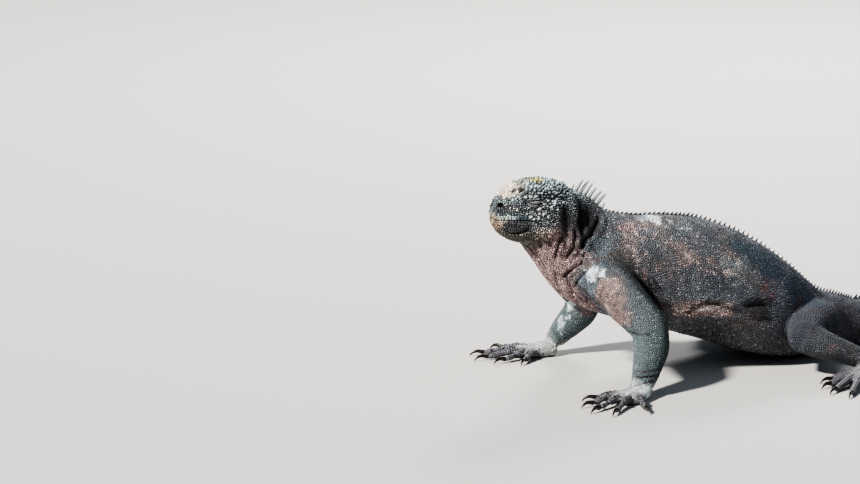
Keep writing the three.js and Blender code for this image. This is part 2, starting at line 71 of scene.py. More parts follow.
# Stations of the head, and of the neck, trunk and hips, as in the solids.
# Each row: top x, top z, low x, low z, half-width, egg (wider below), squareness.
HEAD = np.array([
    [-283, 145, -283.2, 137, 5, 0, 2.1],
    [-281.2, 152.8, -281.4, 131, 12, 0, 2.25],
    [-276.8, 161.6, -276, 125, 16.8, 0.02, 2.3],
    [-268.2, 168.9, -267.4, 120, 20.8, 0.05, 2.4],
    [-255, 172, -256, 117.2, 24.2, 0.1, 2.45],
    [-242.4, 172.4, -244, 116, 27, 0.14, 2.45],
    [-229.4, 170.2, -232, 116.5, 28.4, 0.17, 2.35],
    [-218.4, 165.2, -221, 120, 26.8, 0.17, 2.2],
    [-214, 156, -214.5, 130, 19, 0.12, 2.1],
])
BODY = np.array([
    [-226, 163, -262, 122, 19, 0.1, 2.1],
    [-209.5, 159, -246, 101, 24.5, 0.12, 2.1],
    [-195, 151.5, -233, 82, 30, 0.14, 2.1],
    [-180, 140, -218, 67, 36.5, 0.12, 2.1],
    [-152, 134, -186, 52, 44.5, 0.12, 2.1],
    [-121, 131.5, -145, 39, 51, 0.14, 2.15],
    [-93, 126.5, -104, 26, 56, 0.16, 2.2],
    [-60, 114, -64, 11, 59, 0.18, 2.25],
    [-29, 96, -29, 1, 56.5, 0.2, 2.3],
    [0, 74, 0, -2, 47, 0.16, 2.3],
    [22, 55, 22, -2, 37, 0.12, 2.25],
    [44, 47, 44, -1.5, 28, 0.08, 2.15],
    [62, 41, 62, -1.2, 22.5, 0.05, 2.1],
])
NECK_START = 0.05  # the first and last stations of the neck, and the last of the trunk
NECK_END = 3
TRUNK_END = len(BODY) - 1
BROW_PLACE = (-246, 14.5, 162.5)
BROW_SIZES = (19, 8.5, 7)
HEAD_YAW = math.radians(5)
YAW_PIVOT = -212

# The tail on the floor
TAIL_LENGTH = 470
TAIL_TURN = math.radians(-112)
TAIL_FLICK = math.radians(34)
TAIL_HEIGHTS = (4.5, 42.2)  # at the tip and at the root
TAIL_HALVES = (1.3, 22.5)
TAIL_SUNK = 1.2
TAIL_WALK = 260

# Limb stations: x, outward y, z, half-thickness across, half-thickness fore and aft.
LEFT_ARM = np.array([
    [-203, 22, 97, 22, 24],
    [-197.5, 44, 84, 18.5, 20],
    [-186, 62, 68, 16, 17.5],
    [-176, 73, 53.5, 14.6, 15.6],
    [-178.5, 80, 38, 13.6, 15],
    [-185, 86, 24, 11.6, 13],
    [-192, 91.5, 11.5, 8.4, 10.8],
])
RIGHT_ARM = np.array([
    [-203, 20, 97, 22, 24],
    [-197, 40, 84, 18.5, 20],
    [-182, 54, 68, 16, 17.5],
    [-167.5, 62, 53, 14.6, 15.6],
    [-169.5, 67, 38, 13.6, 15],
    [-181, 71.6, 24, 10.8, 12],
    [-190.5, 74.6, 11.5, 8, 9.6],
])
LEG = np.array([
    [20, 7, 29, 17, 20],
    [4, 38, 33.5, 19, 21.5],
    [-19, 65, 35, 17, 18.5],
    [-33, 83, 33, 14, 15],
    [-16, 93, 25.5, 12, 13.5],
    [4, 99, 17.5, 9.6, 11],
    [20, 104, 10, 8.2, 9],
])
MIDDLE = 3  # the row of the elbow or knee
HAND = {"palm": 27, "width": 12.5, "heading": 31, "thick": 6}
FOOT = {"palm": 33, "width": 10.5, "heading": 38, "thick": 5.5}
RIGHT_HAND_TURN = -22
# Each digit: angle from the palm's heading, length without the claw, place across the palm.
FINGERS = ((-52, 19, -0.8), (-20, 29, -0.62), (-3, 36, -0.2), (14, 36, 0.26), (48, 25, 0.68))
TOES = ((-36, 19, -0.8), (-18, 30, -0.5), (-4, 40, -0.1), (11, 48, 0.3), (52, 30, 0.7))
PALM_ROWS = ((0, 0.86, 1.5), (0.3, 0.92, 1.22), (0.65, 1.08, 1), (0.95, 1, 0.78), (1.08, 0.6, 0.55))
DIGIT_ROOT = 4.5
DIGIT_TIP = 3
CLAW_LENGTH = 12
CLAW_ROOT = 2.1

EYE_PLACE = (-254, 18.7, 155.8)
EYE_RADIUS = 5.6

# How finely the flesh is drawn: rings along each part and sides of each ring
HEAD_GRID = (60, 72)
BODY_GRID = (110, 80)
TAIL_GRID = (150, 40)
LIMB_GRID = (24, 40)
PALM_GRID = (20, 40)
DIGIT_GRID = (24, 20)


def smoothstep(value, low, high):
    """0 below low, 1 above high and a smooth rise between them."""
    share = np.clip((np.asarray(value, float) - low) / (high - low), 0, 1)
    return share * share * (3 - 2 * share)


def bump(value, width):
    """1 at zero, falling smoothly to nothing a few widths away."""
    return np.exp(-((value / width) ** 2))


def spline(rows, share):
    """Points of a Catmull-Rom curve through rows, at shares from 0 to 1."""
    rows = np.asarray(rows, float)
    ends = (2 * rows[0] - rows[1], 2 * rows[-1] - rows[-2])
    padded = np.vstack([ends[0], rows, ends[1]])
    place = np.clip(np.atleast_1d(share), 0, 1) * (len(rows) - 1)
    first = np.minimum(place.astype(int), len(rows) - 2)
    w = (place - first)[:, None]
    a, b, c, d = (padded[first + k] for k in range(4))
    cubic = (3 * b - a - 3 * c + d) * w**3
    return 0.5 * (2 * b + (c - a) * w + (2 * a - 5 * b + 4 * c - d) * w**2 + cubic)


def tangents(rows, share):
    """Unit directions along the same curve."""
    step = 0.002
    along = spline(rows, np.minimum(share + step, 1)) - spline(rows, np.maximum(share - step, 0))
    return unit(along)


def unit(vectors):
    """Vectors at length 1."""
    return vectors / np.maximum(np.linalg.norm(vectors, axis=-1, keepdims=True), 1e-12)


def yawed(points, back=False):
    """Points turned with the head about the top of the neck, or turned back to the straight pose."""
    points = np.asarray(points, float)
    straight_x = points[..., 0]
    for _ in range(3 if back else 1):
        share = smoothstep(YAW_PIVOT - straight_x, -30, 30)
        turn = HEAD_YAW * share * (1 if back else -1)
        dx = points[..., 0] - YAW_PIVOT
        x = YAW_PIVOT + dx * np.cos(turn) - points[..., 1] * np.sin(turn)
        y = dx * np.sin(turn) + points[..., 1] * np.cos(turn)
        if back:
            straight_x = x
    return np.stack([x, y, points[..., 2]], axis=-1)


def section(centre, side, up, half, height, egg, square, sides, floor):
    """A closed ring of points: a rounded section, flattened where it would pass the floor."""
    angle = 2 * np.pi * (np.arange(sides) + 0.5) / sides
    c, s = np.cos(angle), np.sin(angle)
    across = half * np.sign(c) * np.abs(c) ** (2 / square) * (1 - egg * s)
    rise = height * np.sign(s) * np.abs(s) ** (2 / square)
    ring = centre + np.outer(across, side) + np.outer(rise, up)
    ring[:, 2] = np.maximum(ring[:, 2], floor)
    return ring


def loft(rings):
    """Points and faces of a closed solid through rings."""
    rings = np.asarray(rings)
    count, sides = rings.shape[:2]
    points = np.vstack([rings.reshape(-1, 3), rings[0].mean(0), rings[-1].mean(0)])
    r, i = np.meshgrid(np.arange(count - 1), np.arange(sides), indexing="ij")
    a = (r * sides + i).ravel()
    b = (r * sides + (i + 1) % sides).ravel()
    quads = np.stack([a, b, b + sides, a + sides], axis=1)
    around = np.arange(sides)
    ahead = (around + 1) % sides
    first, last = count * sides, count * sides + 1
    start = (count - 1) * sides
    caps = [np.stack([np.full(sides, first), ahead, around], axis=1),
            np.stack([np.full(sides, last), start + around, start + ahead], axis=1)]
    return points, [tuple(q) for q in quads] + [tuple(t) for cap in caps for t in cap]


def body_rings(rows, first, last, count, sides, coat):
    """Rings of the head or of the body between two stations."""
    rings = []
    for station in np.linspace(first, last, count):
        row = spline(rows, station / (len(rows) - 1))[0]
        top = np.array([row[0], 0, row[1]])
        low = np.array([row[2], 0, row[3]])
        height = np.linalg.norm(top - low) / 2
        up = (top - low) / (2 * height)
        ring = section((top + low) / 2, np.array([0, 1, 0]), up, row[4] - coat, height - coat,
                       row[5], row[6], sides, COAT)
        rings.append(ring)
    return yawed(rings)


def tail_heading(share):
    """The tail's direction on the floor, at shares of its length."""
    return TAIL_TURN * smoothstep(share, 0, 0.95) + TAIL_FLICK * smoothstep(share, 0.62, 1)


walk_shares = np.arange(TAIL_WALK) / TAIL_WALK
walk_steps = np.stack([np.cos(tail_heading(walk_shares)), np.sin(tail_heading(walk_shares))], 1)
tail_spots = np.vstack([[0, 0], np.cumsum(walk_steps, 0)]) * TAIL_LENGTH / TAIL_WALK
tail_spots[:, 0] += BODY[-1][0]


def tail_place(share):
    """Place on the tail's midline, its heading, full height and half-width."""
    share = np.clip(share, 0, 1)
    grid = np.linspace(0, 1, TAIL_WALK + 1)
    x = np.interp(share, grid, tail_spots[:, 0])
    y = np.interp(share, grid, tail_spots[:, 1])
    height = TAIL_HEIGHTS[0] + (TAIL_HEIGHTS[1] - TAIL_HEIGHTS[0]) * (1 - share) ** 0.76
    half = TAIL_HALVES[0] + (TAIL_HALVES[1] - TAIL_HALVES[0]) * (1 - share) ** 2.1
    z = height / 2 - TAIL_SUNK * (1 - 0.5 * share)
    return np.stack([x, y, z], -1), tail_heading(share), height, half


def tail_rings(count, sides):
    """Rings of the tail, the first one well inside the hips."""
    rings = []
    for share in np.linspace(-0.01, 1, count):
        place, heading, height, half = tail_place(share)
        side = np.array([-math.sin(heading), math.cos(heading), 0])
        coat = COAT * (1 - 0.6 * max(share, 0))
        rings.append(section(place, side, np.array([0, 0, 1]), half - coat, height / 2 - coat,
                             0.05, 2.1, sides, coat))
    rings[0][:, 0] -= 4
    return rings


ROUNDED_END = ((0.25, 0.96), (0.45, 0.85), (0.62, 0.66))  # reach and size, in half-thicknesses
DIGIT_ARCH = ((-0.12, 5), (0.3, 6), (0.68, 4.4), (1, 2.9))  # share of the length, and height


def limb_rings(rows, side, reference, count, sides, coat, rounded):
    """Rings of an upper or lower arm or leg, the upper one with a rounded end."""
    rows = rows * np.array([1, side, 1, 1, 1])
    shares = np.linspace(0, 1, count)
    rings = []
    for row, along in zip(spline(rows, shares), tangents(rows[:, :3], shares)):
        across = unit(reference - along * (reference @ along))
        fore = np.cross(along, across)
        rings.append(section(row[:3], fore, across, row[4] - coat, row[3] - coat, 0, 2.1, sides, coat))
    if rounded:
        for reach, size in ROUNDED_END:
            rings.append(section(row[:3] + along * row[3] * reach, fore, across,
                                 (row[4] - coat) * size, (row[3] - coat) * size, 0, 2.1, sides, coat))
    return rings


def paw_facts(rows, side, paw, digits, turn):
    """Wrist, headings and the midline of each digit of a hand or foot."""
    wrist = np.array([rows[-1][0], rows[-1][1] * side, 0])
    heading = math.radians(paw["heading"] + turn) * side
    ahead = np.array([-math.cos(heading), math.sin(heading), 0])
    across = np.array([math.sin(heading), math.cos(heading), 0]) * side
    made = []
    for angle, length, place in digits:
        root = wrist + ahead * paw["palm"] * (1 - 0.25 * abs(place)) + across * paw["width"] * place
        own = heading + math.radians(angle) * side
        on = np.array([-math.cos(own), math.sin(own), 0])
        spots = [root + on * length * share + (0, 0, z) for share, z in DIGIT_ARCH]
        made.append({"ahead": on, "spots": np.array(spots), "length": length})
    return {"wrist": wrist, "ahead": ahead, "across": across, "digits": made, "paw": paw}


def palm_rings(facts, count, sides):
    """Rings of the palm or sole, from the wrist to the roots of the digits."""
    paw = facts["paw"]
    rings = []
    for share, wide, thick in spline(PALM_ROWS, np.linspace(0, 1, count)):
        centre = facts["wrist"] + facts["ahead"] * paw["palm"] * share
        centre = centre + (0, 0, max(paw["thick"] * thick - 1, 2.5))
        rings.append(section(centre, facts["across"], np.array([0, 0, 1]),
                             paw["width"] * wide - DIGIT_COAT, paw["thick"] * thick - DIGIT_COAT,
                             0, 2.2, sides, DIGIT_COAT))
    return rings


def digit_half(share):
    """Half-thickness of a digit along it, with swollen joints and a narrow claw end."""
    swell = 1 + 0.07 * bump(share - 0.42, 0.1) + 0.08 * bump(share - 0.8, 0.1)
    rounding = 1 - 0.3 * smoothstep(share, 0.93, 1)
    return (DIGIT_ROOT + (DIGIT_TIP - DIGIT_ROOT) * share) * swell * rounding - DIGIT_COAT


def digit_rings(digit, count, sides):
    """Rings of a finger or toe."""
    shares = np.linspace(0, 1, count)
    rings = []
    for share, spot, along in zip(shares, spline(digit["spots"], shares),
                                  tangents(digit["spots"], shares)):
        side = unit(np.cross([0, 0, 1], along))
        up = np.cross(along, side)
        half = digit_half(share)
        rings.append(section(spot, side, up, half, half * 0.95, 0, 2, sides, DIGIT_COAT))
    return rings


# The directions that the first half-thickness of an arm and of a leg spans
ARM_REFERENCE = np.array([0.0, 1.0, 0.0])
LEG_REFERENCE = np.array([0.0, 0.0, 1.0])
LIMBS = []
for side, word in SIDES:
    arm_rows = LEFT_ARM if side == LEFT else RIGHT_ARM
    hand_turn = 0 if side == LEFT else RIGHT_HAND_TURN
    for kind, rows, reference, paw, digits, turn in (
            ("arm", arm_rows, ARM_REFERENCE, HAND, FINGERS, hand_turn),
            ("leg", LEG, LEG_REFERENCE, FOOT, TOES, 0)):
        LIMBS.append({"word": word, "side": side, "rows": rows, "reference": reference,
                      "kind": kind, "paw": paw_facts(rows, side, paw, digits, turn)})


def ellipsoid(centre, sizes, count=24):
    """Points and faces of a closed ellipsoid."""
    rings = []
    for lift in np.linspace(-np.pi / 2 + 0.12, np.pi / 2 - 0.12, count // 2):
        angle = 2 * np.pi * np.arange(count) / count
        ring = np.stack([np.cos(angle) * math.cos(lift), np.sin(angle) * math.cos(lift),
                         np.full(count, math.sin(lift))], axis=1)
        rings.append(centre + ring * sizes)
    return loft(rings)


def flesh_solids():
    """Every closed solid that the skin is drawn over."""
    solids = [loft(body_rings(HEAD, 0, len(HEAD) - 1, *HEAD_GRID, HEAD_COAT)),
              loft(body_rings(BODY, NECK_START, TRUNK_END, *BODY_GRID, COAT)),
              loft(tail_rings(*TAIL_GRID))]
    for side, _ in SIDES:
        place = np.array(BROW_PLACE) * (1, side, 1)
        points, faces = ellipsoid(place, np.array(BROW_SIZES) - HEAD_COAT)
        solids.append((yawed(points), faces))
    for limb in LIMBS:
        rows, side, reference = limb["rows"], limb["side"], limb["reference"]
        for some, rounded in ((rows[:MIDDLE + 1], True), (rows[MIDDLE:], False)):
            solids.append(loft(limb_rings(some, side, reference, *LIMB_GRID, COAT, rounded)))
        solids.append(loft(palm_rings(limb["paw"], *PALM_GRID)))
        solids += [loft(digit_rings(digit, *DIGIT_GRID)) for digit in limb["paw"]["digits"]]
    return solids


def joined(solids):
    """Several point and face sets as one."""
    points, faces, base = [], [], 0
    for some, their in solids:
        points.append(some)
        faces += [tuple(int(k) + base for k in face) for face in their]
        base += len(some)
    return np.vstack(points), faces


def placed(name, data):
    """A new object in the scene."""
    made = bpy.data.objects.new(name, data)
    bpy.context.scene.collection.objects.link(made)
    return made


def make_mesh(name, points, faces):
    """An object from points in millimetres."""
    mesh = bpy.data.meshes.new(name)
    mesh.from_pydata((np.asarray(points) * MM).tolist(), [], faces)
    return placed(name, mesh)


def places_of(mesh):
    """A mesh's points, in millimetres."""
    co = np.zeros(len(mesh.vertices) * 3)
    mesh.vertices.foreach_get("co", co)
    return co.reshape(-1, 3) / MM


def set_places(mesh, points):
    """Moves a mesh's points to places in millimetres."""
    mesh.vertices.foreach_set("co", (points * MM).ravel())
    mesh.update()


def edges_of(mesh):
    """The two ends of each edge."""
    ends = np.zeros(len(mesh.edges) * 2, np.int32)
    mesh.edges.foreach_get("vertices", ends)
    return ends.reshape(-1, 2)


def relax(points, edges, weight, rounds):
    """Moves each point towards the mean of its neighbours, by its own weight."""
    count = len(points)
    degree = np.maximum(np.bincount(edges.ravel(), minlength=count), 1)[:, None]
    for _ in range(rounds):
        total = np.stack([np.bincount(edges[:, 0], points[edges[:, 1], k], count)
                          + np.bincount(edges[:, 1], points[edges[:, 0], k], count)
                          for k in range(3)], axis=1)
        points = points + np.reshape(weight, (-1, 1)) * (total / degree - points)
    return points


def normals_of(mesh):
    """A mesh's directions outward at its points."""
    mesh.update()
    n = np.zeros(len(mesh.vertices) * 3)
    mesh.vertex_normals.foreach_get("vector", n)
    return n.reshape(-1, 3)


VOXEL = 1.5
FINE_AHEAD = -198  # the skin is finer ahead of this, for the neck and head
FINE_ABOVE = 78
FINE_TRUNK_AHEAD = -150  # ahead of this the trunk isn't thinned
COARSE_SHARE = 0.19  # share of their points that plain stretches of trunk, tail and limbs keep
JUNCTIONS = (  # place and reach of the soft transitions between flesh parts
    ((-200, 36, 88), 20), ((-196, 34, 108), 16), ((6, 38, 34), 20), ((-222, 0, 124), 24),
    ((-228, 20, 122), 14), ((-216, 0, 160), 10), ((-34, 86, 33), 9), ((-188, 43, 105), 15),
    ((-192, 91, 13), 7), ((-188, 74, 13), 7), ((20, 104, 11), 6),
    ((-184, 71, 12), 8),
)
SHOULDERS = (((-189, 43, 107), 14),)  # the same, softened for longer

# Midlines of all the flesh parts: they tell which part a spot of skin belongs to, and its lie.
PARTS = ("head", "neck", "trunk", "tail", "upper_arm", "forearm", "hand", "finger",
         "thigh", "shin", "foot", "toe")
PART = {name: i for i, name in enumerate(PARTS)}


def midlines():
    """Arrays of spots along every part: place, radius, direction of the lie, part and share."""
    found = []

    def add(name, places, radii, shares):
        along = unit(np.gradient(places, axis=0))
        for row in zip(places, radii, along, shares):
            found.append((*row[0], row[1], *row[2], PART[name], row[3]))

    def add_body(name, rows, first, last, count):
        stations = np.linspace(first, last, count)
        row = spline(rows, stations / (len(rows) - 1))
        centre = np.stack([(row[:, 0] + row[:, 2]) / 2, 0 * stations, (row[:, 1] + row[:, 3]) / 2], 1)
        height = np.hypot(row[:, 0] - row[:, 2], row[:, 1] - row[:, 3]) / 2
        add(name, yawed(centre), np.sqrt(height * row[:, 4]), (stations - first) / (last - first))

    add_body("head", HEAD, 0.9, 7.4, 30)
    add_body("neck", BODY, 0.7, NECK_END, 16)
    add_body("trunk", BODY, NECK_END, TRUNK_END, 60)
    shares = np.linspace(0, 1, 120)
    place, _, height, half = tail_place(shares)
    add("tail", place, np.sqrt(height / 2 * half), shares)
    for limb in LIMBS:
        words = ("upper_arm", "forearm", "hand", "finger")
        if limb["kind"] == "leg":
            words = ("thigh", "shin", "foot", "toe")
        rows = limb["rows"] * np.array([1, limb["side"], 1, 1, 1])
        for word, some in zip(words, (rows[:MIDDLE + 1], rows[MIDDLE:])):
            row = spline(some, np.linspace(0, 1, 16))
            add(word, row[:, :3], np.sqrt(row[:, 3] * row[:, 4]), np.linspace(0, 1, 16))
        paw = limb["paw"]
        reach = np.linspace(0, 0.9, 8)
        spine_line = paw["wrist"] + np.outer(reach * paw["paw"]["palm"], paw["ahead"])
        spine_line[:, 2] = np.interp(reach, (0, 0.9), (8, 4.5))
        add(words[2], spine_line, np.full(8, 0.8 * paw["paw"]["width"]), reach)
        for digit in paw["digits"]:
            shares = np.linspace(0.1, 1, 12)
            add(words[3], spline(digit["spots"], shares), digit_half(shares) + DIGIT_COAT, shares)
    return np.array(found)


MIDLINES = midlines()


def owners(points):
    """The nearest midline spot of each point, counted in that part's own radii."""
    near = np.zeros(len(points), int)
    spots, radii = MIDLINES[:, :3], MIDLINES[:, 3]
    for start in range(0, len(points), 20000):
        some = points[start:start + 20000]
        away = (some**2).sum(1)[:, None] - 2 * some @ spots.T + (spots**2).sum(1)
        near[start:start + 20000] = np.argmin(np.maximum(away, 0) / radii**2, axis=1)
    return near


def part_shares(points, reach):
    """How much each point belongs to each part, softened over a reach."""
    shares = np.zeros((len(points), len(PARTS)))
    steps = np.array([(0, 0, 0), (1, 1, 1), (-1, -1, 1), (-1, 1, -1), (1, -1, -1)]) * reach / 1.7
    for step in steps:
        part = MIDLINES[owners(points + step), 7].astype(int)
        shares[np.arange(len(points)), part] += 1 / len(steps)
    return shares


def hashed(x, y, z, seed):
    """A fixed random value from -1 to 1 for each cell of a grid."""
    h = (x * 73856093) ^ (y * 19349663) ^ (z * 83492791) ^ (seed * 2654435761)
    h = (h ^ (h >> 13)) * 1274126177
    return ((h ^ (h >> 16)) & 0xFFFF) / 32767.5 - 1


def noise(points, size, seed=0):
    """Smooth random values from -1 to 1, with features about as wide as size."""
    p = np.asarray(points) / size + 37.1 * seed
    cell = np.floor(p).astype(np.int64)
    f = p - cell
    f = f * f * (3 - 2 * f)
    total = 0
    for corner in range(8):
        step = np.array([corner & 1, corner >> 1 & 1, corner >> 2 & 1])
        weight = np.prod(np.where(step, f, 1 - f), axis=1)
        total = total + weight * hashed(*(cell + step).T, seed)
    return total


def layered(points, size, seed=0, layers=3):
    """Noise of several sizes, each half as wide and half as strong as the one before."""
    total = sum(noise(points, size / 2**k, seed + k) / 2**k for k in range(layers))
    return total / (2 - 2 ** (1 - layers))


def mirrored(points):
    """Points with the animal's right side laid over its left, as x, outward y and z."""
    return points * np.array([1, 0, 1]) + np.abs(points) * np.array([0, 1, 0])


def straightened(points):
    """The same for points of the finished pose, with the head turned back to the straight one."""
    return mirrored(yawed(points, back=True))


def away_squared(points, centre, sizes):
    """Squared distance from a centre, counted in the half-sizes along each axis."""
    return (((points - centre) / sizes) ** 2).sum(1)


# Deep creases: outward places on the straight pose, depth and width.
FOLDS = {
    "behind_jowl": ([(-231, 26.8, 128), (-233, 24.1, 121.8), (-234.6, 23.7, 114.9),
                     (-236.2, 20.9, 104.2)], 1.7, 1.4),
    "neck_side": ([(-220.8, 25.9, 133.2), (-220.1, 26.4, 126.4), (-221.4, 27.6, 119.9),
                   (-223.2, 27.8, 114.9), (-226.3, 27.1, 109.8), (-228.5, 26, 106.3)], 2.6, 1.5),
    "neck_hollow": ([(-213.2, 15, 151), (-214.5, 22.8, 139), (-214.7, 25.7, 131),
                     (-214, 28.4, 123)], 2.4, 2.2),
    "shoulder_front": ([(-195.5, 17.5, 141.4), (-197.2, 21.5, 137.2), (-201.6, 25.5, 131.5),
                        (-206.9, 27.8, 126.4), (-213.3, 28.7, 122), (-216, 29, 118),
                        (-217.2, 29.9, 113.1)], 3.6, 2.1),
    "shoulder_low": ([(-215.9, 30.9, 108.9), (-219.3, 33.4, 104.5), (-221.9, 28.9, 99.5),
                      (-225.2, 26.3, 95.9), (-229, 20, 88)], 2.4, 1.4),
    "arm_front": ([(-206.4, 43.5, 106.2), (-212.2, 41.2, 102.9), (-216.9, 40.3, 98.8),
                   (-219.5, 36.2, 93.1), (-220.6, 30, 86.8), (-220.2, 24.4, 81.4)], 2.0, 1.2),
    "shoulder_thin": ([(-212.4, 30.7, 113.7), (-215.1, 31.1, 109.7), (-217.8, 33.9, 105.4),
                       (-220.2, 33.5, 101.2)], 1.4, 1.0),
    "armpit": ([(-176, 47, 93), (-169.5, 45.1, 85.9), (-165.2, 45.7, 80.5), (-158.9, 46.1, 72.3),
                (-152.7, 44.9, 64.6), (-145, 41, 54)], 2.6, 2.0),
    "armpit_wrinkle_1": ([(-164, 46, 88), (-160, 46, 80), (-154, 46, 74)], 1.2, 1.0),
    "armpit_wrinkle_2": ([(-159, 46, 89), (-155, 47, 82), (-149, 47, 76)], 1.0, 0.9),
    "flank": ([(-132, 44.2, 51.5), (-120, 52, 62), (-108, 56, 64), (-92, 58, 58),
               (-74, 58.9, 50)], 1.3, 2.2),
    "groin": ([(-79, 59, 58), (-70, 59.1, 60), (-62, 59.2, 59), (-52, 58.6, 56)], 3.4, 3.2),
    "groin_wrinkle_1": ([(-74, 59, 52), (-64, 59.4, 52.5), (-54, 59.4, 50)], 1.1, 1.1),
    "groin_wrinkle_2": ([(-70, 58.9, 47), (-61, 59.4, 47.5), (-51, 59.2, 45)], 0.9, 1.1),
    "chin": ([(-279, 11, 132), (-277.8, 12.5, 131), (-273.9, 14.3, 129.2), (-268.9, 17.5, 129.4),
              (-261.4, 21.7, 131.8), (-257.5, 23, 134.2)], 1.9, 1.5),
    "cheek": ([(-254, 24.2, 139.4), (-250, 25, 136.8), (-245.5, 26, 135.8)], 0.8, 0.9),
    "wrist_front": ([(-203, 88, 20), (-197.6, 95.9, 18), (-190, 98.2, 18.5), (-182, 97, 18.4),
                     (-175, 90, 19)], 0.9, 0.9),
    "wrist_low": ([(-205, 90, 15.5), (-200, 98, 14.5), (-192, 100, 14.4), (-184, 98, 14.6)],
                  0.6, 0.8),
    "wrist_high": ([(-201, 86, 25), (-195, 95, 22.5), (-187, 97, 22.5), (-177, 94, 23.5),
                    (-171, 88, 25)], 0.4, 0.9),
    "elbow_front": ([(-194, 70, 52), (-188, 80, 50), (-179, 86, 49)], 1.1, 1.2),
}
# Broad hollows (negative) and swellings: outward place, half-sizes along each axis, height.
SWELLS = (
    ((-228.2, 28, 143), (4.0, 12, 12.5), -3.6),
    ((-206.5, 22, 138), (5.5, 14, 11), -3.4),
    ((-214, 27, 137), (3.5, 12, 13), -1.6),
    ((-224, 26, 126), (3.2, 10, 15), 1.4),
    ((-217.5, 28, 123), (2.6, 10, 13), 1.5),
    ((-241, 27, 133.5), (11, 9, 8.5), 2.1),
    ((-243, 26, 147), (9, 7, 6), 0.7),
    ((-251, 25, 155), (11, 9, 8), 0.9),
    ((-250, 21, 163.8), (13, 8, 2.8), 1.1),
    ((-197, 55, 92), (17, 16, 14), 1.6),
    ((-171, 72, 58), (9, 14, 9), 1.3),
    ((-187, 78, 60), (9, 14, 12), 0.9),
    ((-171, 86, 42), (9, 10, 13), 1.2),
    ((-184, 46, 101), (9, 8, 11), 1.2),
    ((-190, 30, 122), (14, 14, 14), 1.2),
    ((-120, 50, 92), (34, 16, 22), 1.1),
    ((-30, 56, 62), (22, 14, 16), 1.2),
    ((-8, 52, 44), (16, 14, 12), 1.2),
    ((-26, 88, 40), (10, 12, 8), 0.8),
)
# The mouth line, as x and z from the snout's tip to the corner of the mouth
MOUTH_LINE = ((-286, 140.2), (-278.4, 141.5), (-265.7, 141.7), (-258.9, 141.5), (-254.5, 140.2),
              (-250, 138.4))
MOUTH_END = -252
NOSTRIL = (-278.9, 8.2, 152.6)
NOSTRIL_SIZES = (2.5, 2.0)
NOSTRIL_SLANT = math.radians(28)
NOSTRIL_DEPTH = 4.0
NOSTRIL_BARE = (2.6, 4, 2.1)  # half-sizes of the bare stretch at a nostril
# Bare pits between the snout's big scales: place on either side, half-sizes and depth
PITS = (
    ((-268.7, -9.4, 165.5), (3.0, 3.0, 2.6), 2.7), ((-262.5, -12.8, 166), (2.9, 3.0, 2.8), 2.8),
    ((-277.5, -2.4, 159.2), (2.4, 2.2, 2.1), 2.2), ((-265.5, 8.4, 167.4), (2.5, 2.4, 2.3), 2.3),
    ((-273.5, 5.4, 163.2), (1.4, 1.4, 1.4), 1.2),
)
LID_RADIUS = 6.3  # of the ball that the lids are drawn over
LID_CENTRE = (0.5, 0.6)  # the lids' middle beside the eye's: backward and upward
LID_STRETCH = 1.3  # length over height of the lids
SLIT_HALF = 5.2  # half the length of the slit between the lids
SLIT_OPEN = 0.3  # half its height in the middle
# Stretches with the finest skin: how far they reach from the eye, nostril and mouth line
EYE_FINE = 11
EYE_SOFT = 12
NOSTRIL_FINE = 4.5
MOUTH_FINE = 2.4
SLIT_FINE = (1.9, 7.5)  # up and down from the meeting line, and along it from the eye
SLIT_SOFT = (2.4, 8)
SLIT_BOTTOM = 4.2  # the slit's floor lies so far from the eye's middle, inside the ball
LID_EDGE = 5.6  # the lids' outer edge on their oval
LID_FURROWS = ((5.3, 0.4, 0.5), (7.4, 0.3, 0.6))  # place on the oval, depth and width
BROW_HEIGHT = 160.0  # of the groove over the eye, at its highest
RIB_PITCH = 12
# Hollows deeper than DARK_HOLLOW also get painted shade
DARK_HOLLOW = -1.2  # hollows deeper than this are darker too


def fold_distance(points, normals, line):
    """Distance from a crease along the skin, and how much of the crease is left there."""
    line = np.array(line, float)
    lengths = np.concatenate([[0], np.cumsum(np.linalg.norm(np.diff(line, axis=0), axis=1))])
    best = np.full(len(points), 1e9)
    place = np.zeros(len(points))
    for i, (a, b) in enumerate(zip(line[:-1], line[1:])):
        share = np.clip((points - a) @ (b - a) / ((b - a) @ (b - a)), 0, 1)
        away = points - a - share[:, None] * (b - a)
        across = (away * normals).sum(1)
        far = np.where(np.abs(across) > 9, 1e9, 0)
        found = np.sqrt(np.maximum((away**2).sum(1) - across**2, 0)) + far
        nearer = found < best
        best = np.where(nearer, found, best)
        place = np.where(nearer, lengths[i] + share * (lengths[i + 1] - lengths[i]), place)
    ends = np.minimum(place, lengths[-1] - place) / lengths[-1]
    return best, smoothstep(ends, -0.05, 0.22)


def mouth_height(x):
    """Height of the mouth line at x."""
    xs, zs = zip(*MOUTH_LINE)
    return np.interp(x, xs, zs)


def eye_coordinates(q):
    """Places about the eye's middle: backward, outward and upward."""
    return q - np.array(EYE_PLACE)


def lid_oval(e):
    """Distance from the eye's middle, counted in the height of an oval as long as the lids."""
    back, up = e[:, 0] - LID_CENTRE[0], e[:, 2] - LID_CENTRE[1]
    return np.sqrt((back / LID_STRETCH) ** 2 + up**2)


def slit_line(u):
    """Height of the closed lids' meeting line, and how far it is open, along the eye."""
    u = u - LID_CENTRE[0]
    line = 2.5 - 0.02 * u**2
    opened = SLIT_OPEN * np.sqrt(np.clip(1 - (u / SLIT_HALF) ** 2, 0, 1))
    return line, opened


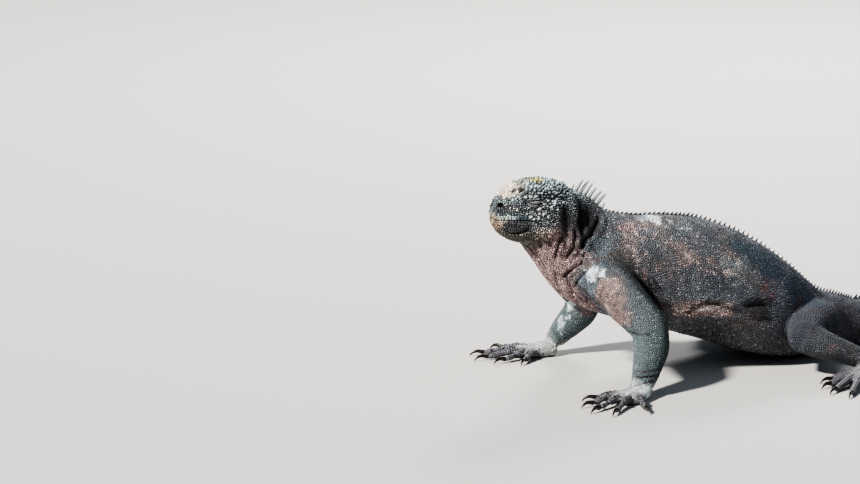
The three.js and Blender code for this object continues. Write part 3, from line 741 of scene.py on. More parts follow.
def lid_creases(e):
    """The dark lines over and under the lids' meeting line, from 0 to 1."""
    u, w = e[:, 0], e[:, 2]
    middle = bump(w + 0.7 - 0.02 * u**2 + 0.1 * u, 0.65)
    over = 0.7 * bump(w - slit_line(u)[0] - 1.7, 0.35)
    under = 0.6 * bump(w + 3.3 - 0.02 * u**2, 0.4)
    return np.maximum(middle, over + under) * smoothstep(-np.abs(u - LID_CENTRE[0]), -6.4, -5.2)


def hollows(straight, q, normals):
    """Lift and darkness of the muscles, hollows, pits and deep creases."""
    lift, crease = np.zeros(len(q)), np.zeros(len(q))
    for centre, sizes, height in SWELLS:
        away = away_squared(q, centre, sizes)
        lift += height * np.exp(-away)
        if height < DARK_HOLLOW:
            crease = np.maximum(crease, 0.75 * np.exp(-away * 1.2))
    for centre, sizes, depth in PITS:
        pit = np.exp(-away_squared(straight, centre, sizes) ** 2)
        lift -= depth * pit
        crease = np.maximum(crease, pit)
    for line, depth, width in FOLDS.values():
        away, left = fold_distance(q, normals, line)
        lift -= depth * left * bump(away, width)
        lift += 0.4 * depth * left * bump(away - 2.1 * width, width)
        crease = np.maximum(crease, left * bump(away, width * 0.9))
    return lift, crease


def wrinkles(q, part, shares):
    """Lift and darkness of fine wrinkles: long ones down the neck, short ones over the trunk."""
    down = np.stack([q[:, 0] * 0.84 + q[:, 2] * 0.55, q[:, 1] * 0.8,
                     (q[:, 0] * -0.55 + q[:, 2] * 0.84) * 0.22], axis=1)
    ridge = 1 - np.abs(layered(down, 5.5, 3, 2)) * 2.2
    loose = smoothstep(-q[:, 0], 196, 210) * smoothstep(-q[:, 2], -140, -122)
    loose = loose * (1 - shares[:, PART["head"]])
    loose = loose + 0.35 * shares[:, PART["neck"]] * (1 - loose)
    lift = -1.15 * loose * smoothstep(ridge, 0.35, 1)
    trunk = shares[:, (PART["trunk"], PART["thigh"], PART["upper_arm"])].sum(1)
    lift += trunk * (0.7 * layered(q * (1, 0.7, 0.5), 16, 21) + 0.3 * layered(q, 7, 31))
    ribs = np.sin((q[:, 0] + 0.35 * q[:, 2]) / RIB_PITCH * 2 * np.pi)
    flank = bump(q[:, 0] + 105, 42) * smoothstep(-q[:, 2], -105, -85) * smoothstep(q[:, 2], 35, 60)
    lift += 0.35 * ribs * flank * (part == PART["trunk"])
    lift += (part >= PART["upper_arm"]) * 0.25 * layered(q, 6, 41)
    return lift, 0.75 * loose * smoothstep(ridge, 0.6, 1)


def lid_rings(oval, near_eye):
    """Lift and darkness of the furrows round the lids."""
    lift, crease = np.zeros(len(oval)), np.zeros(len(oval))
    for ring, depth, width in LID_FURROWS:
        lift -= near_eye * depth * bump(oval - ring, width)
        crease = np.maximum(crease, near_eye * 0.5 * bump(oval - ring, width * 0.8))
    return lift, crease


def brow_groove(q, outer):
    """Lift and darkness of the dark groove over the eye, which runs back to the temple."""
    rise = q[:, 2] - (BROW_HEIGHT - 0.002 * (q[:, 0] + 250) ** 2 + 0.3 * noise(q, 5, 17))
    along = smoothstep(-q[:, 0], 229, 238) * smoothstep(q[:, 0], -265, -257)
    groove = outer * bump(rise, 0.8) * along * smoothstep(q[:, 1], 11, 14)
    return 0.8 * outer * bump(rise - 2.0, 1.3) * along - 0.9 * groove, 0.9 * groove


def mouth_shape(q, on_head):
    """Lift and darkness of the mouth line and of the lips on either side of it."""
    rise = q[:, 2] - mouth_height(q[:, 0])
    mouth = on_head * smoothstep(-q[:, 0], -MOUTH_END - 1, -MOUTH_END + 4)
    lips = 1.0 * bump(rise - 2.4, 1.9) + 0.5 * bump(rise + 2.4, 1.6)
    return mouth * (lips - 1.3 * bump(rise, 0.42)), mouth * bump(rise, 0.6)


def nostril_shape(q, on_head):
    """Lift and darkness of the nostrils, slanted ovals with a rim."""
    away = q - np.array(NOSTRIL)
    across = away[:, 0] * math.cos(NOSTRIL_SLANT) * 0.6 + away[:, 1] * 0.8
    across = across - away[:, 2] * math.sin(NOSTRIL_SLANT) * 0.3
    hole = np.sqrt((across / NOSTRIL_SIZES[0]) ** 2 + (away[:, 2] / NOSTRIL_SIZES[1]) ** 2)
    hole = np.where(on_head & (np.linalg.norm(away, axis=1) < 8), hole, 9)
    lift = 0.7 * bump(hole - 1.6, 0.45) - NOSTRIL_DEPTH * smoothstep(-hole, -1.15, -0.7)
    return lift, smoothstep(-hole, -1.25, -0.9)


def over_the_ball(points, outer, near_eye, oval, creases):
    """The lids drawn out over the eye's ball, with a narrow slit between them."""
    straight = yawed(points, back=True)
    e = eye_coordinates(mirrored(straight))
    radius = np.linalg.norm(e, axis=1)
    line, opened = slit_line(e[:, 0])
    off_line = np.abs(e[:, 2] - line)
    lid = outer & (oval < LID_EDGE) & (radius < 9)
    wanted = LID_RADIUS - 0.75 * creases
    wanted = wanted + 0.2 * near_eye * bump(off_line - opened - 0.6, 0.5)
    share = lid * smoothstep(-oval, -LID_EDGE, -4.2)
    target = np.maximum(radius, wanted * share + radius * (1 - share))
    inside = near_eye * smoothstep(opened - off_line, -0.05, 0.3) * (np.abs(e[:, 0]) < SLIT_HALF)
    target = target + inside * (np.minimum(target, SLIT_BOTTOM) - target)
    moved = e * (target / np.maximum(radius, 1e-6))[:, None] - e
    moved[:, 1] *= np.sign(straight[:, 1] + 1e-9)
    return points + moved


def sculpted(points, normals):
    """Skin with its folds, lids, nostrils, mouth and muscles, and how creased each spot is."""
    straight = yawed(points, back=True)
    q = mirrored(straight)
    outward = normals.copy()
    outward[:, 1] *= np.sign(points[:, 1] + 1e-9)
    part = MIDLINES[owners(points), 7].astype(int)
    on_head = part == PART["head"]
    e = eye_coordinates(q)
    outer = on_head & (e[:, 1] > -3)
    near_eye = outer & (np.linalg.norm(e, axis=1) < 14)
    oval = lid_oval(e)
    creases = near_eye * lid_creases(e)
    lift, crease = hollows(straight, q, outward)
    for more, darker in (wrinkles(q, part, part_shares(points, 5)), lid_rings(oval, near_eye),
                         brow_groove(q, outer), mouth_shape(q, on_head), nostril_shape(q, on_head)):
        lift += more
        crease = np.maximum(crease, darker)
    points = over_the_ball(points + normals * lift[:, None], outer, near_eye, oval, creases)
    points[:, 2] = np.maximum(points[:, 2], DIGIT_COAT)
    return points, np.clip(np.maximum(crease, creases), 0, 1)


def base_skin():
    """One closed surface round all the flesh, before its folds."""
    rough = make_mesh("skin_rough", *joined(flesh_solids()))
    remesh = rough.modifiers.new("one_surface", "REMESH")
    remesh.mode = "VOXEL"
    remesh.voxel_size = VOXEL * MM
    graph = bpy.context.evaluated_depsgraph_get()
    mesh = bpy.data.meshes.new_from_object(rough.evaluated_get(graph))
    bpy.data.objects.remove(rough)
    edges = edges_of(mesh)
    points = places_of(mesh)
    everywhere = np.ones(len(points))
    points = relax(points, edges, everywhere * 0.6, 3)
    points = relax(points, edges, everywhere * -0.35, 2)
    for spots, rounds in ((JUNCTIONS, 30), (SHOULDERS, 70)):
        soft = np.zeros(len(points))
        for (x, y, z), reach in spots:
            for side, _ in SIDES:
                away = np.linalg.norm(points - (x, y * side, z), axis=1)
                soft = np.maximum(soft, smoothstep(-away, -reach * 1.5, -reach * 0.7))
        points = relax(points, edges, soft * 0.5, rounds)
    set_places(mesh, points)
    return thinned(mesh)


def thinned(mesh):
    """The same surface with fewer triangles where it is plain."""
    points = places_of(mesh)
    near = MIDLINES[owners(points)]
    part, share = near[:, 7].astype(int), near[:, 8]
    plain_parts = (part == PART["trunk"]) | (part == PART["thigh"]) | (part == PART["upper_arm"])
    plain_parts |= (part == PART["tail"]) & (share < 0.8)
    keep_fine = (points[:, 0] < FINE_TRUNK_AHEAD) & (part == PART["trunk"])
    chosen = np.flatnonzero(plain_parts & ~keep_fine)
    made = placed("skin_thin", mesh)
    group = made.vertex_groups.new(name="plain")
    group.add(chosen.tolist(), 1.0, "REPLACE")
    thin = made.modifiers.new("thin", "DECIMATE")
    thin.ratio = 1 - (1 - COARSE_SHARE) * len(chosen) / len(points)
    thin.vertex_group = "plain"
    thin.vertex_group_factor = 10
    graph = bpy.context.evaluated_depsgraph_get()
    result = bpy.data.meshes.new_from_object(made.evaluated_get(graph))
    bpy.data.objects.remove(made)
    return result


def refine(mesh, chosen):
    """Splits the edges between chosen vertices."""
    bm = bmesh.new()
    bm.from_mesh(mesh)
    bm.verts.ensure_lookup_table()
    split = [e for e in bm.edges if chosen[e.verts[0].index] and chosen[e.verts[1].index]]
    bmesh.ops.subdivide_edges(bm, edges=split, cuts=1, use_grid_fill=True)
    bmesh.ops.triangulate(bm, faces=bm.faces)
    bm.to_mesh(mesh)
    bm.free()


def softened(mesh, weight, rounds):
    """Relaxes a mesh in place, each vertex by its own weight."""
    set_places(mesh, relax(places_of(mesh), edges_of(mesh), weight, rounds))


def near_slit(points, high, long):
    """Which points lie about the meeting line of the lids."""
    e = eye_coordinates(straightened(points))
    close = (np.abs(e[:, 2] - slit_line(e[:, 0])[0]) < high) & (np.abs(e[:, 0]) < long)
    return close & (e[:, 1] > -1) & (np.linalg.norm(e, axis=1) < 12)


def refined_skin():
    """The base skin with finer triangles on the head, and finest at the eyes, mouth and nostrils."""
    mesh = base_skin()
    points = places_of(mesh)
    refine(mesh, (points[:, 0] < FINE_AHEAD) & (points[:, 2] > FINE_ABOVE))
    softened(mesh, 0.5 * smoothstep(-places_of(mesh)[:, 0], -FINE_AHEAD, -FINE_AHEAD + 6), 3)
    q = straightened(places_of(mesh))
    near_eye = np.linalg.norm(q - EYE_PLACE, axis=1) < EYE_FINE
    near_nostril = np.linalg.norm(q - NOSTRIL, axis=1) < NOSTRIL_FINE
    near_mouth = (np.abs(q[:, 2] - mouth_height(q[:, 0])) < MOUTH_FINE) & (q[:, 0] < MOUTH_END)
    refine(mesh, near_eye | near_nostril | near_mouth)
    q = straightened(places_of(mesh))
    softened(mesh, 0.5 * (np.linalg.norm(q - EYE_PLACE, axis=1) < EYE_SOFT), 2)
    refine(mesh, near_slit(places_of(mesh), *SLIT_FINE))
    softened(mesh, 0.4 * near_slit(places_of(mesh), *SLIT_SOFT), 2)
    return mesh


def unwrap(made):
    """Gives a mesh the map that its own colours and its scales' colours are baked through."""
    made.data.uv_layers.new(name="OFBake")
    bpy.context.view_layer.objects.active = made
    made.select_set(True)
    bpy.ops.object.mode_set(mode="EDIT")
    bpy.ops.mesh.select_all(action="SELECT")
    bpy.ops.uv.smart_project(angle_limit=math.radians(66), island_margin=0.002)
    bpy.ops.object.mode_set(mode="OBJECT")
    made.select_set(False)


skin_mesh = refined_skin()
skin_places, skin_crease = sculpted(places_of(skin_mesh), normals_of(skin_mesh))
set_places(skin_mesh, skin_places)
skin_mesh.name = "iguana_skin"
skin = placed("iguana_skin", skin_mesh)
unwrap(skin)
skin_mesh.polygons.foreach_set("use_smooth", np.ones(len(skin_mesh.polygons), bool))
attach(skin, "root")
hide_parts("head", "lower_jaw", "neck", "trunk", "tail_base", "tail_middle", "tail_tip")
for limb in LIMBS:
    names = ("upper_arm", "forearm", "hand") if limb["kind"] == "arm" else ("thigh", "shin", "foot")
    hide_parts(*(f"{limb['word']}_{name}" for name in names))


# Colours of the skin and scales: linear red, green and blue
CHARCOAL = (0.06, 0.067, 0.08)
GREY = (0.13, 0.14, 0.157)
WARM_GREY = (0.12, 0.105, 0.102)
SLATE = (0.045, 0.068, 0.092)
BLUE_GREY = (0.115, 0.15, 0.175)
SALMON = (0.35, 0.215, 0.18)
SALMON_PALE = (0.5, 0.37, 0.335)
BLUSH = (0.175, 0.125, 0.12)
DULL_RED = (0.18, 0.08, 0.078)
CREAM = (0.66, 0.575, 0.475)
DUSTY_GREEN = (0.2, 0.225, 0.2)
WHITE = (0.78, 0.86, 0.9)
YELLOW = (0.42, 0.385, 0.17)
PINK = (0.36, 0.245, 0.235)
TAN = (0.22, 0.145, 0.095)
OLIVE_AND_UNDER_SHADE = (0.105, 0.095, 0.07)
SHADE_BLACK = (0.018, 0.02, 0.026)
MOSS = (0.095, 0.132, 0.138)
PALE_BLUE = (0.215, 0.26, 0.275)
SHADOW_BLUE = (0.005, 0.008, 0.015)
CREASE_SHADE_BROWN = (0.035, 0.018, 0.02)
PAW_GREY = (0.5, 0.515, 0.505)
DEEP_GREY = (0.036, 0.039, 0.047)
FLECK_AND_GLINT = (0.5, 0.48, 0.45)
DIGIT_GREY = (0.085, 0.08, 0.092)
LEG_GREY = (0.03, 0.036, 0.045)
TAIL_GREY = (0.04, 0.044, 0.05)
NECK_GREY = (0.115, 0.12, 0.135)
FACE_GREY = (0.125, 0.137, 0.142)
NOSE_GREY = (0.09, 0.105, 0.115)
JOWL = (0.4, 0.325, 0.275)
LIP_BLUE = (0.05, 0.08, 0.1)
LIP_PALE_AND_HIGHLIGHT = (0.46, 0.53, 0.5)
LOWER_GREY = (0.028, 0.027, 0.031)
LID_PALE = (0.4, 0.435, 0.445)
LID_PINK = (0.17, 0.145, 0.15)
LID_SHADOW = (0.035, 0.046, 0.055)
EAR_GREY = (0.16, 0.195, 0.19)
TIP_CREAM = (0.31, 0.255, 0.2)
TUBERCLE = (0.42, 0.44, 0.42)
HORN = (0.020, 0.015, 0.013)
SPINE_PALE = (0.36, 0.39, 0.40)
PURPLE = (0.17, 0.11, 0.125)

# Places of the face's markings, and of a painted shade before the eye: outward place on the straight
# pose and half-sizes
SNOUT_CREAM = ((-267.5, 0, 167.5), (15.5, 18, 12.5))
CROWN_GREEN = ((-257.5, 0, 170), (8.5, 17, 9))
CROWN_YELLOW = ((-245, -4, 171), (6, 6, 4))  # on the left side only
SNOUT_PURPLE = ((-271.5, 17, 151.6), (5, 5, 1.7))
# Painted shade in front of the eye
BEFORE_EYE = ((-262.5, 20, 156.5), (3.2, 6, 3.6))
EAR_PATCH = ((-247, 26, 139.2), (4, 6, 2.2))
# Big pale tubercles of the face: place, half-width and length over width
TUBERCLES = (
    ((-250.7, 23.5, 150.6), 1.15, 2.0), ((-260.5, 20.6, 146.8), 0.85, 1.7),
    ((-257.9, 22.5, 144.1), 1.2, 1.6), ((-255.5, 23.9, 142.6), 0.9, 1.5),
    ((-251.4, 24.0, 144.3), 0.95, 1.2), ((-250.7, 23.6, 146.9), 0.9, 1.2),
    ((-237.3, 23.8, 154.5), 1.3, 1.35), ((-235.8, 20.6, 162.5), 1.3, 1.35),
    ((-235.6, 25.8, 149.4), 1.05, 1.2), ((-240.8, 24.8, 151.5), 1.05, 1.2),
    ((-242.6, 22.6, 156.8), 1.0, 1.3), ((-243.9, 26.4, 144.0), 0.95, 1.2),
    ((-247.4, 24.8, 146.7), 0.95, 1.2), ((-268.2, 17.9, 149.7), 0.95, 1.6),
    ((-269.9, 13.5, 157.0), 1.35, 1.25), ((-265.1, 14.8, 159.6), 0.95, 1.4),
    ((-275.1, 12.2, 153.6), 0.95, 1.2), ((-251.9, 24.5, 142.6), 0.85, 2.0),
    ((-273.0, 15.0, 151.6), 0.8, 1.2), ((-229.0, 23.0, 155.0), 1.0, 1.2),
    ((-242.0, 18.6, 165.0), 1.2, 1.2), ((-247.6, 16.2, 167.0), 1.2, 1.3),
)
# Long pale scales of the brow's edge, in the same form
BROW_SCALES = (
    ((-261.2, 19.2, 160.7), 1.15, 1.7), ((-257.4, 21, 161.5), 1.2, 1.8),
    ((-253, 22, 161.8), 1.15, 1.8),
)
# Shadowed hollows: outward place, half-sizes and how dark they are
SHADES = (
    ((-228.2, 28, 142), (4.8, 14, 15), 0.97),
    ((-206, 22, 140), (7.5, 16, 14), 0.95),
    ((-215, 26, 131), (5, 10, 14), 0.6),
    ((-64, 60, 55), (11, 8, 5.5), 0.8),
    ((-163, 47, 78), (7, 10, 10), 0.6),
    ((-236, 22, 159), (8, 7, 1.5), 0.85),
)

# The rump's own darker tone, deepened with painted shade
REAR_TONE_AND_SHADE = (0.44, 0.43, 0.35)  # how much darker the rump is, in red, green and blue

# Patches: outward place on the straight pose, half-sizes, colour and strength.
PATCHES = (
    ((-139, 9, 131.5), (7, 10.5, 5), WHITE, 0.8),
    ((-150, 11, 133), (6, 6, 3), WHITE, 0.22),
    ((-188, 42, 107), (13, 10, 11), (0.07, 0.066, 0.066), 0.55),
    # Paler blue-grey on the mid-flank: its own tone and a painted sheen
    ((-83, 52, 94), (17, 12, 14), (0.17, 0.186, 0.2), 0.65),
    ((-90, 53, 88), (6, 5, 3.2), (0.36, 0.3, 0.275), 0.75),
    ((-112, 54, 60), (19, 10, 4), (0.36, 0.31, 0.295), 0.75),
    ((-203, 30, 117), (11, 12, 10), BLUE_GREY, 0.75),
    ((-217, 42, 91), (9, 10, 11), BLUE_GREY, 0.85),
    ((-211, 46, 99), (8, 8, 7), WHITE, 1.0),
    ((-207, 47, 105), (6, 7, 4), LIP_BLUE, 0.7),
    ((-190, 108, 9), (8, 8, 6), WHITE, 0.8),
)
# Patches of the right side only, in the same form.
RIGHT_PATCHES = (
    ((-184, 56, 46), (3.2, 9, 15), WHITE, 0.62),
    ((-189.5, 61, 30), (3.0, 9, 12), WHITE, 0.5),
    ((-170, 54, 46), (9, 12, 12), (0.27, 0.185, 0.195), 0.75),
)
# Mottled stretches, in the same form, with how much of the stretch is mottled
SALMON_MOTTLE = (
    ((-160, 22, 125), (26, 18, 9), 0.64), ((-180, 34, 110), (24, 14, 14), 0.52),
    ((-96, 48, 96), (30, 14, 13), 0.5), ((-128, 42, 108), (24, 14, 14), 0.5),
    ((-150, 44, 92), (22, 12, 14), 0.4),
    ((-212, 36, 107), (10, 10, 8), 0.66), ((-204, 61, 82), (11, 13, 15), 0.92),
    ((-198, 66, 64), (8, 10, 9), 0.85), ((-114, 52, 59), (26, 12, 8), 0.95),
    ((-70, 50, 86), (14, 10, 8), 0.45),
)
RED_MOTTLE = (
    ((-46, 53, 70), (20, 12, 14), 0.62), ((-26, 54, 56), (16, 12, 12), 0.62),
    ((-140, 46, 84), (34, 14, 16), 0.34), ((-84, 54, 76), (20, 12, 14), 0.42),
)
SLATE_MOTTLE = (
    ((-66, 40, 100), (26, 16, 10), 0.85), ((-42, 40, 86), (20, 14, 12), 0.95),
    ((-18, 43, 64), (22, 16, 16), 1.0), ((-120, 30, 120), (36, 14, 8), 0.5),
    ((-92, 54, 66), (26, 12, 14), 0.55), ((-12, 50, 44), (20, 14, 14), 0.9),
)


def mixed(colour, other, share):
    """A colour carried a share of the way to another one."""
    return colour + (np.asarray(other) - colour) * np.reshape(share, (-1, 1))


def mottled(q, noise_here, stretches):
    """How mottled spots are: ragged islands, closer together in the given stretches."""
    density = np.zeros(len(q))
    for centre, sizes, strength in stretches:
        density = np.maximum(density, strength * np.exp(-(((q - centre) / sizes) ** 4).sum(1) * 0.7))
    return smoothstep(1.6 * density - 0.86 + 0.95 * noise_here, -0.1, 0.42)


def blob(q, rough, centre, sizes):
    """How much a spot lies in a patch with a ragged edge."""
    return smoothstep(-np.sqrt(away_squared(q, centre, sizes)) - rough, -1.15, -0.75)


def share_of(shares, *names):
    """How much each spot belongs to the named parts together."""
    return shares[:, [PART[name] for name in names]].sum(1)


def ground_colours(points, q, near, shares, wide, small):
    """The plain greys of the trunk, and the colours of the limbs and tail."""
    part, along = near[:, 7], near[:, 8]
    colour = mixed(np.array(GREY) + 0 * points, CHARCOAL, smoothstep(wide + 0.5 * small, -0.35, 0.5))
    colour = mixed(colour, WARM_GREY, 0.7 * smoothstep(layered(points, 22, 91, 3), 0.05, 0.5))
    low = smoothstep(-q[:, 2], -62, -30) * share_of(shares, "trunk")
    colour = mixed(colour, WARM_GREY, 0.4 * low)
    upper = share_of(shares, "upper_arm")
    colour = mixed(colour, MOSS, 0.75 * share_of(shares, "forearm"))
    colour = mixed(colour, MOSS, 0.5 * upper * (part != PART["upper_arm"]))
    colour = mixed(colour, MOSS, 0.5 * upper * along * (part == PART["upper_arm"]))
    # Painted shade on the rear side of the arms
    behind = smoothstep(q[:, 0] - near[:, 0], 1, 9.5) * share_of(shares, "forearm", "upper_arm")
    colour = colour * (1 - 0.6 * behind)[:, None]
    colour = mixed(colour, PAW_GREY, 0.75 * share_of(shares, "hand") + 0.35 * share_of(shares, "foot"))
    knuckles = 0.9 + 0.1 * layered(points, 6, 191, 2)
    colour = mixed(colour, DIGIT_GREY, 0.88 * share_of(shares, "finger", "toe") * knuckles)
    colour = mixed(colour, LEG_GREY, 0.7 * share_of(shares, "thigh", "shin"))
    bands = smoothstep(np.sin(along * 46 + 1.2 * wide), 0.1, 0.8) * (part == PART["tail"])
    colour = mixed(colour, TAIL_GREY, share_of(shares, "tail") * (0.45 + 0.35 * bands))
    flecks = smoothstep(layered(points, 12, 97), 0.25, 0.6)
    return mixed(colour, DULL_RED, 0.3 * share_of(shares, "tail", "thigh", "shin") * flecks)


def trunk_markings(colour, points, q, straight, shares, rough):
    """The same with the pink throat, the mottled red, salmon and slate, and the white patches."""
    front = smoothstep(-(q[:, 0] * 0.84 + q[:, 2] * 0.55) + 5 * rough, 108, 122)
    under = np.maximum(front, smoothstep(-q[:, 2], -108, -96)) * smoothstep(-q[:, 0], 190, 206)
    trunk, neck = share_of(shares, "trunk"), share_of(shares, "neck")
    ahead = neck + trunk * smoothstep(-q[:, 0], 186, 194)
    colour = mixed(colour, PINK, 0.85 * under * ahead)
    colour = mixed(colour, NECK_GREY, 0.6 * neck * (1 - under))
    islands = 0.65 * layered(points, 11, 111, 3) + 0.55 * layered(points, 3.6, 121, 2)
    others = 0.65 * layered(points, 13, 131, 3) + 0.5 * layered(points, 4.2, 141, 2)
    colour = mixed(colour, DEEP_GREY, 0.55 * smoothstep(others, 0.05, 0.4) * trunk)
    colour = mixed(colour, SLATE, 0.8 * mottled(q, 0.6 * others, SLATE_MOTTLE))
    colour = mixed(colour, DULL_RED, 0.6 * mottled(q, others, RED_MOTTLE))
    blush = mottled(q, 0.5 * islands + 0.45, SALMON_MOTTLE) * smoothstep(others, -0.6, 0.4)
    colour = mixed(colour, BLUSH, 0.5 * blush)
    salmon = mottled(q, islands, SALMON_MOTTLE)
    broken = 0.35 + 0.65 * smoothstep(layered(points, 2.6, 161, 2), -0.5, 0.35)
    islet = mixed(np.array(SALMON), SALMON_PALE, smoothstep(layered(points, 8, 171, 2), -0.35, 0.5))
    colour = mixed(colour, islet, 0.75 * salmon * broken)
    # Pale flecks, most on the top of the back: the skin's own flecks and painted glints of light
    flecks = smoothstep(noise(points, 2.3, 151) + 0.5 * noise(points, 5, 152), 0.55, 0.75)
    upper = smoothstep(q[:, 2], 96, 118) * smoothstep(-q[:, 0], 96, 116)
    colour = mixed(colour, FLECK_AND_GLINT, 0.55 * flecks * (upper + 0.5 * salmon).clip(0, 1))
    # The rump darker: its own tone and painted shade
    rear = smoothstep(q[:, 0], -84, -22) * share_of(shares, "trunk", "thigh")
    colour = colour * (1 - rear[:, None] * np.array(REAR_TONE_AND_SHADE))
    frayed = rough + 0.3 * noise(points, 3.2, 181) + 0.2 * noise(points, 1.5, 182)
    for listed, where in ((PATCHES, 1), (RIGHT_PATCHES, straight[:, 1] > 0)):
        for centre, sizes, tone, strength in listed:
            colour = mixed(colour, tone, strength * blob(q, frayed, centre, sizes) * where)
    return colour


def face_colours(points, q, straight, rough):
    """Colours of the head: cream snout, pale crown, dark nose, lips, chin and lids."""
    x, rise = -q[:, 0], q[:, 2] - mouth_height(q[:, 0])
    over = smoothstep(q[:, 2] + 3 * rough, 149, 159)
    face = mixed(np.array(FACE_GREY) + 0 * points, PALE_BLUE, over)
    face = mixed(face, JOWL, smoothstep(-rise, 2, 8) * smoothstep(-x, -256, -248))
    face = mixed(face, CREAM, 0.95 * blob(q, 0.7 * rough, *SNOUT_CREAM))
    face = mixed(face, NOSE_GREY, smoothstep(x, 273, 279) * smoothstep(-q[:, 2], -156, -151))
    face = mixed(face, DUSTY_GREEN, 0.85 * blob(q, 0.7 * rough, *CROWN_GREEN))
    # Painted shade in the snout's bare pits
    for centre, sizes, _ in PITS:
        face = mixed(face, SHADE_BLACK, 0.92 * blob(straight, 0.3 * rough, centre, np.array(sizes) * 1.1))
    # Painted shade inside the nostrils
    face = mixed(face, SHADE_BLACK, blob(q, 0.2 * rough, NOSTRIL, np.array(NOSTRIL_BARE) * 1.15))
    face = mixed(face, YELLOW, 0.9 * blob(straight, 0.6 * rough, *CROWN_YELLOW))
    lip = smoothstep(rise, -0.4, 0.4) * smoothstep(-rise, -5.2, -4.0)
    face = mixed(face, LIP_BLUE, 0.92 * lip * smoothstep(x, 256, 261))
    # Painted highlight along the front of the upper lip, over its pale band
    shine = smoothstep(x, 266, 275) * bump(rise - 2.1, 1.7)
    face = mixed(face, LIP_PALE_AND_HIGHLIGHT, 0.9 * shine * smoothstep(layered(points, 3, 201, 2), -0.6, 0.1))
    lower = smoothstep(-rise, 0.1, 0.6) * smoothstep(rise, -10, -8.6) * smoothstep(x, 254, 259)
    face = mixed(face, LOWER_GREY, 0.85 * lower)
    # The chin's olive underside, darkened with painted shade
    face = mixed(face, OLIVE_AND_UNDER_SHADE, 0.85 * smoothstep(-rise, 8.6, 9.8) * smoothstep(x, 250, 256))
    ahead = x + 2.4 * rough
    tip = smoothstep(ahead + 0.33 * rise, 275.2, 278.6) * smoothstep(-rise, -0.5, 0.5)
    tip = np.maximum(tip, smoothstep(ahead, 281, 283) * smoothstep(-rise, -5, -3.5))
    flesh = mixed(np.array(TAN), TIP_CREAM, smoothstep(layered(points, 3.4, 211), -0.3, 0.4))
    face = mixed(face, flesh, 0.88 * tip)
    for tone, strength, ragged, place in ((PURPLE, 0.6, 0.5, SNOUT_PURPLE),
                                          (LID_SHADOW, 0.75, 0.4, BEFORE_EYE),
                                          (EAR_GREY, 0.8, 0.4, EAR_PATCH)):
        face = mixed(face, tone, strength * blob(q, ragged * rough, *place))
    eye = eye_coordinates(q)
    outward = eye[:, 1] > -2
    lids = outward * smoothstep(-lid_oval(eye), -5.4, -4.4)
    face = mixed(face, LID_PALE, 0.9 * lids)
    face = mixed(face, LID_PINK, 0.8 * lids * smoothstep(-eye[:, 2], 0.9, 1.6))
    # Painted shade in the slit between the lids and in their creases
    drawn = lid_creases(eye) + bump(eye[:, 2] - slit_line(eye[:, 0])[0], 0.75)
    drawn = drawn * smoothstep(-np.abs(eye[:, 0] - LID_CENTRE[0]), -7, -5.6)
    return mixed(face, SHADE_BLACK, 0.97 * outward * (1.5 * drawn).clip(0, 1))


def painted(points, near, crease):
    """Colour of the skin at spots, the same for the skin and for the scales on it."""
    straight = yawed(points, back=True)
    q = mirrored(straight)
    ragged = points + 2.5 * np.stack([layered(points, 9, 101 + k, 2) for k in range(3)], axis=1)
    shares = part_shares(ragged, 6)
    rough = 0.5 * layered(points, 7, 61, 3) + 0.22 * noise(points, 2.4, 67)
    small = layered(points, 5, 81, 2)
    colour = ground_colours(points, q, near, shares, layered(points, 34, 71, 3), small)
    colour = trunk_markings(colour, points, q, straight, shares, rough)
    colour = mixed(colour, face_colours(points, q, straight, rough), share_of(shares, "head"))
    for centre, sizes, strength in SHADES:
        shade = np.exp(-away_squared(q, centre, sizes))
        colour = mixed(colour, SHADOW_BLUE, np.clip(1.3 * shade, 0, strength))
    # Painted shade in the creases, folds, pits, hollows, nostrils and mouth line
    colour = mixed(colour, CREASE_SHADE_BROWN, 0.88 * crease)
    colour = colour * (1 + 0.16 * small + 0.1 * noise(points, 2.2, 5))[:, None]
    return np.clip(colour, 0.004, 0.9)


# The finished skin as arrays, for the scales to be set on
SKIN_TRIANGLES = np.zeros(len(skin_mesh.polygons) * 3, np.int32)
skin_mesh.polygons.foreach_get("vertices", SKIN_TRIANGLES)
SKIN_TRIANGLES = SKIN_TRIANGLES.reshape(-1, 3)
SKIN_PLACES = places_of(skin_mesh)
SKIN_NORMALS = normals_of(skin_mesh)
SKIN_MAP = np.zeros(len(SKIN_TRIANGLES) * 6)
skin_mesh.uv_layers["OFBake"].data.foreach_get("uv", SKIN_MAP)
SKIN_MAP = SKIN_MAP.reshape(-1, 3, 2)
SKIN_CENTRES = SKIN_PLACES[SKIN_TRIANGLES].mean(1)
skin_corners = SKIN_PLACES[SKIN_TRIANGLES]
SKIN_CROSSES = np.cross(skin_corners[:, 1] - skin_corners[:, 0], skin_corners[:, 2] - skin_corners[:, 0])
SKIN_TREE = BVHTree.FromPolygons(SKIN_PLACES.tolist(), SKIN_TRIANGLES.tolist())


def add_paint(mesh, colours):
    """Gives a mesh its colours, which its material reads."""
    layer = mesh.attributes.new("paint", "FLOAT_COLOR", "POINT")
    full = np.ones((len(colours), 4), np.float32)
    full[:, :3] = colours
    layer.data.foreach_set("color", full.ravel())


def skin_spots(triangle, shares):
    """Facts of spots on the skin, by triangle and shares of its corners."""
    corners = SKIN_TRIANGLES[triangle]
    place = (SKIN_PLACES[corners] * shares[..., None]).sum(1)
    normal = unit((SKIN_NORMALS[corners] * shares[..., None]).sum(1))
    return {"place": place, "normal": normal,
            "map": (SKIN_MAP[triangle] * shares[..., None]).sum(1),
            "crease": (skin_crease[corners] * shares).sum(1), "near": MIDLINES[owners(place)]}


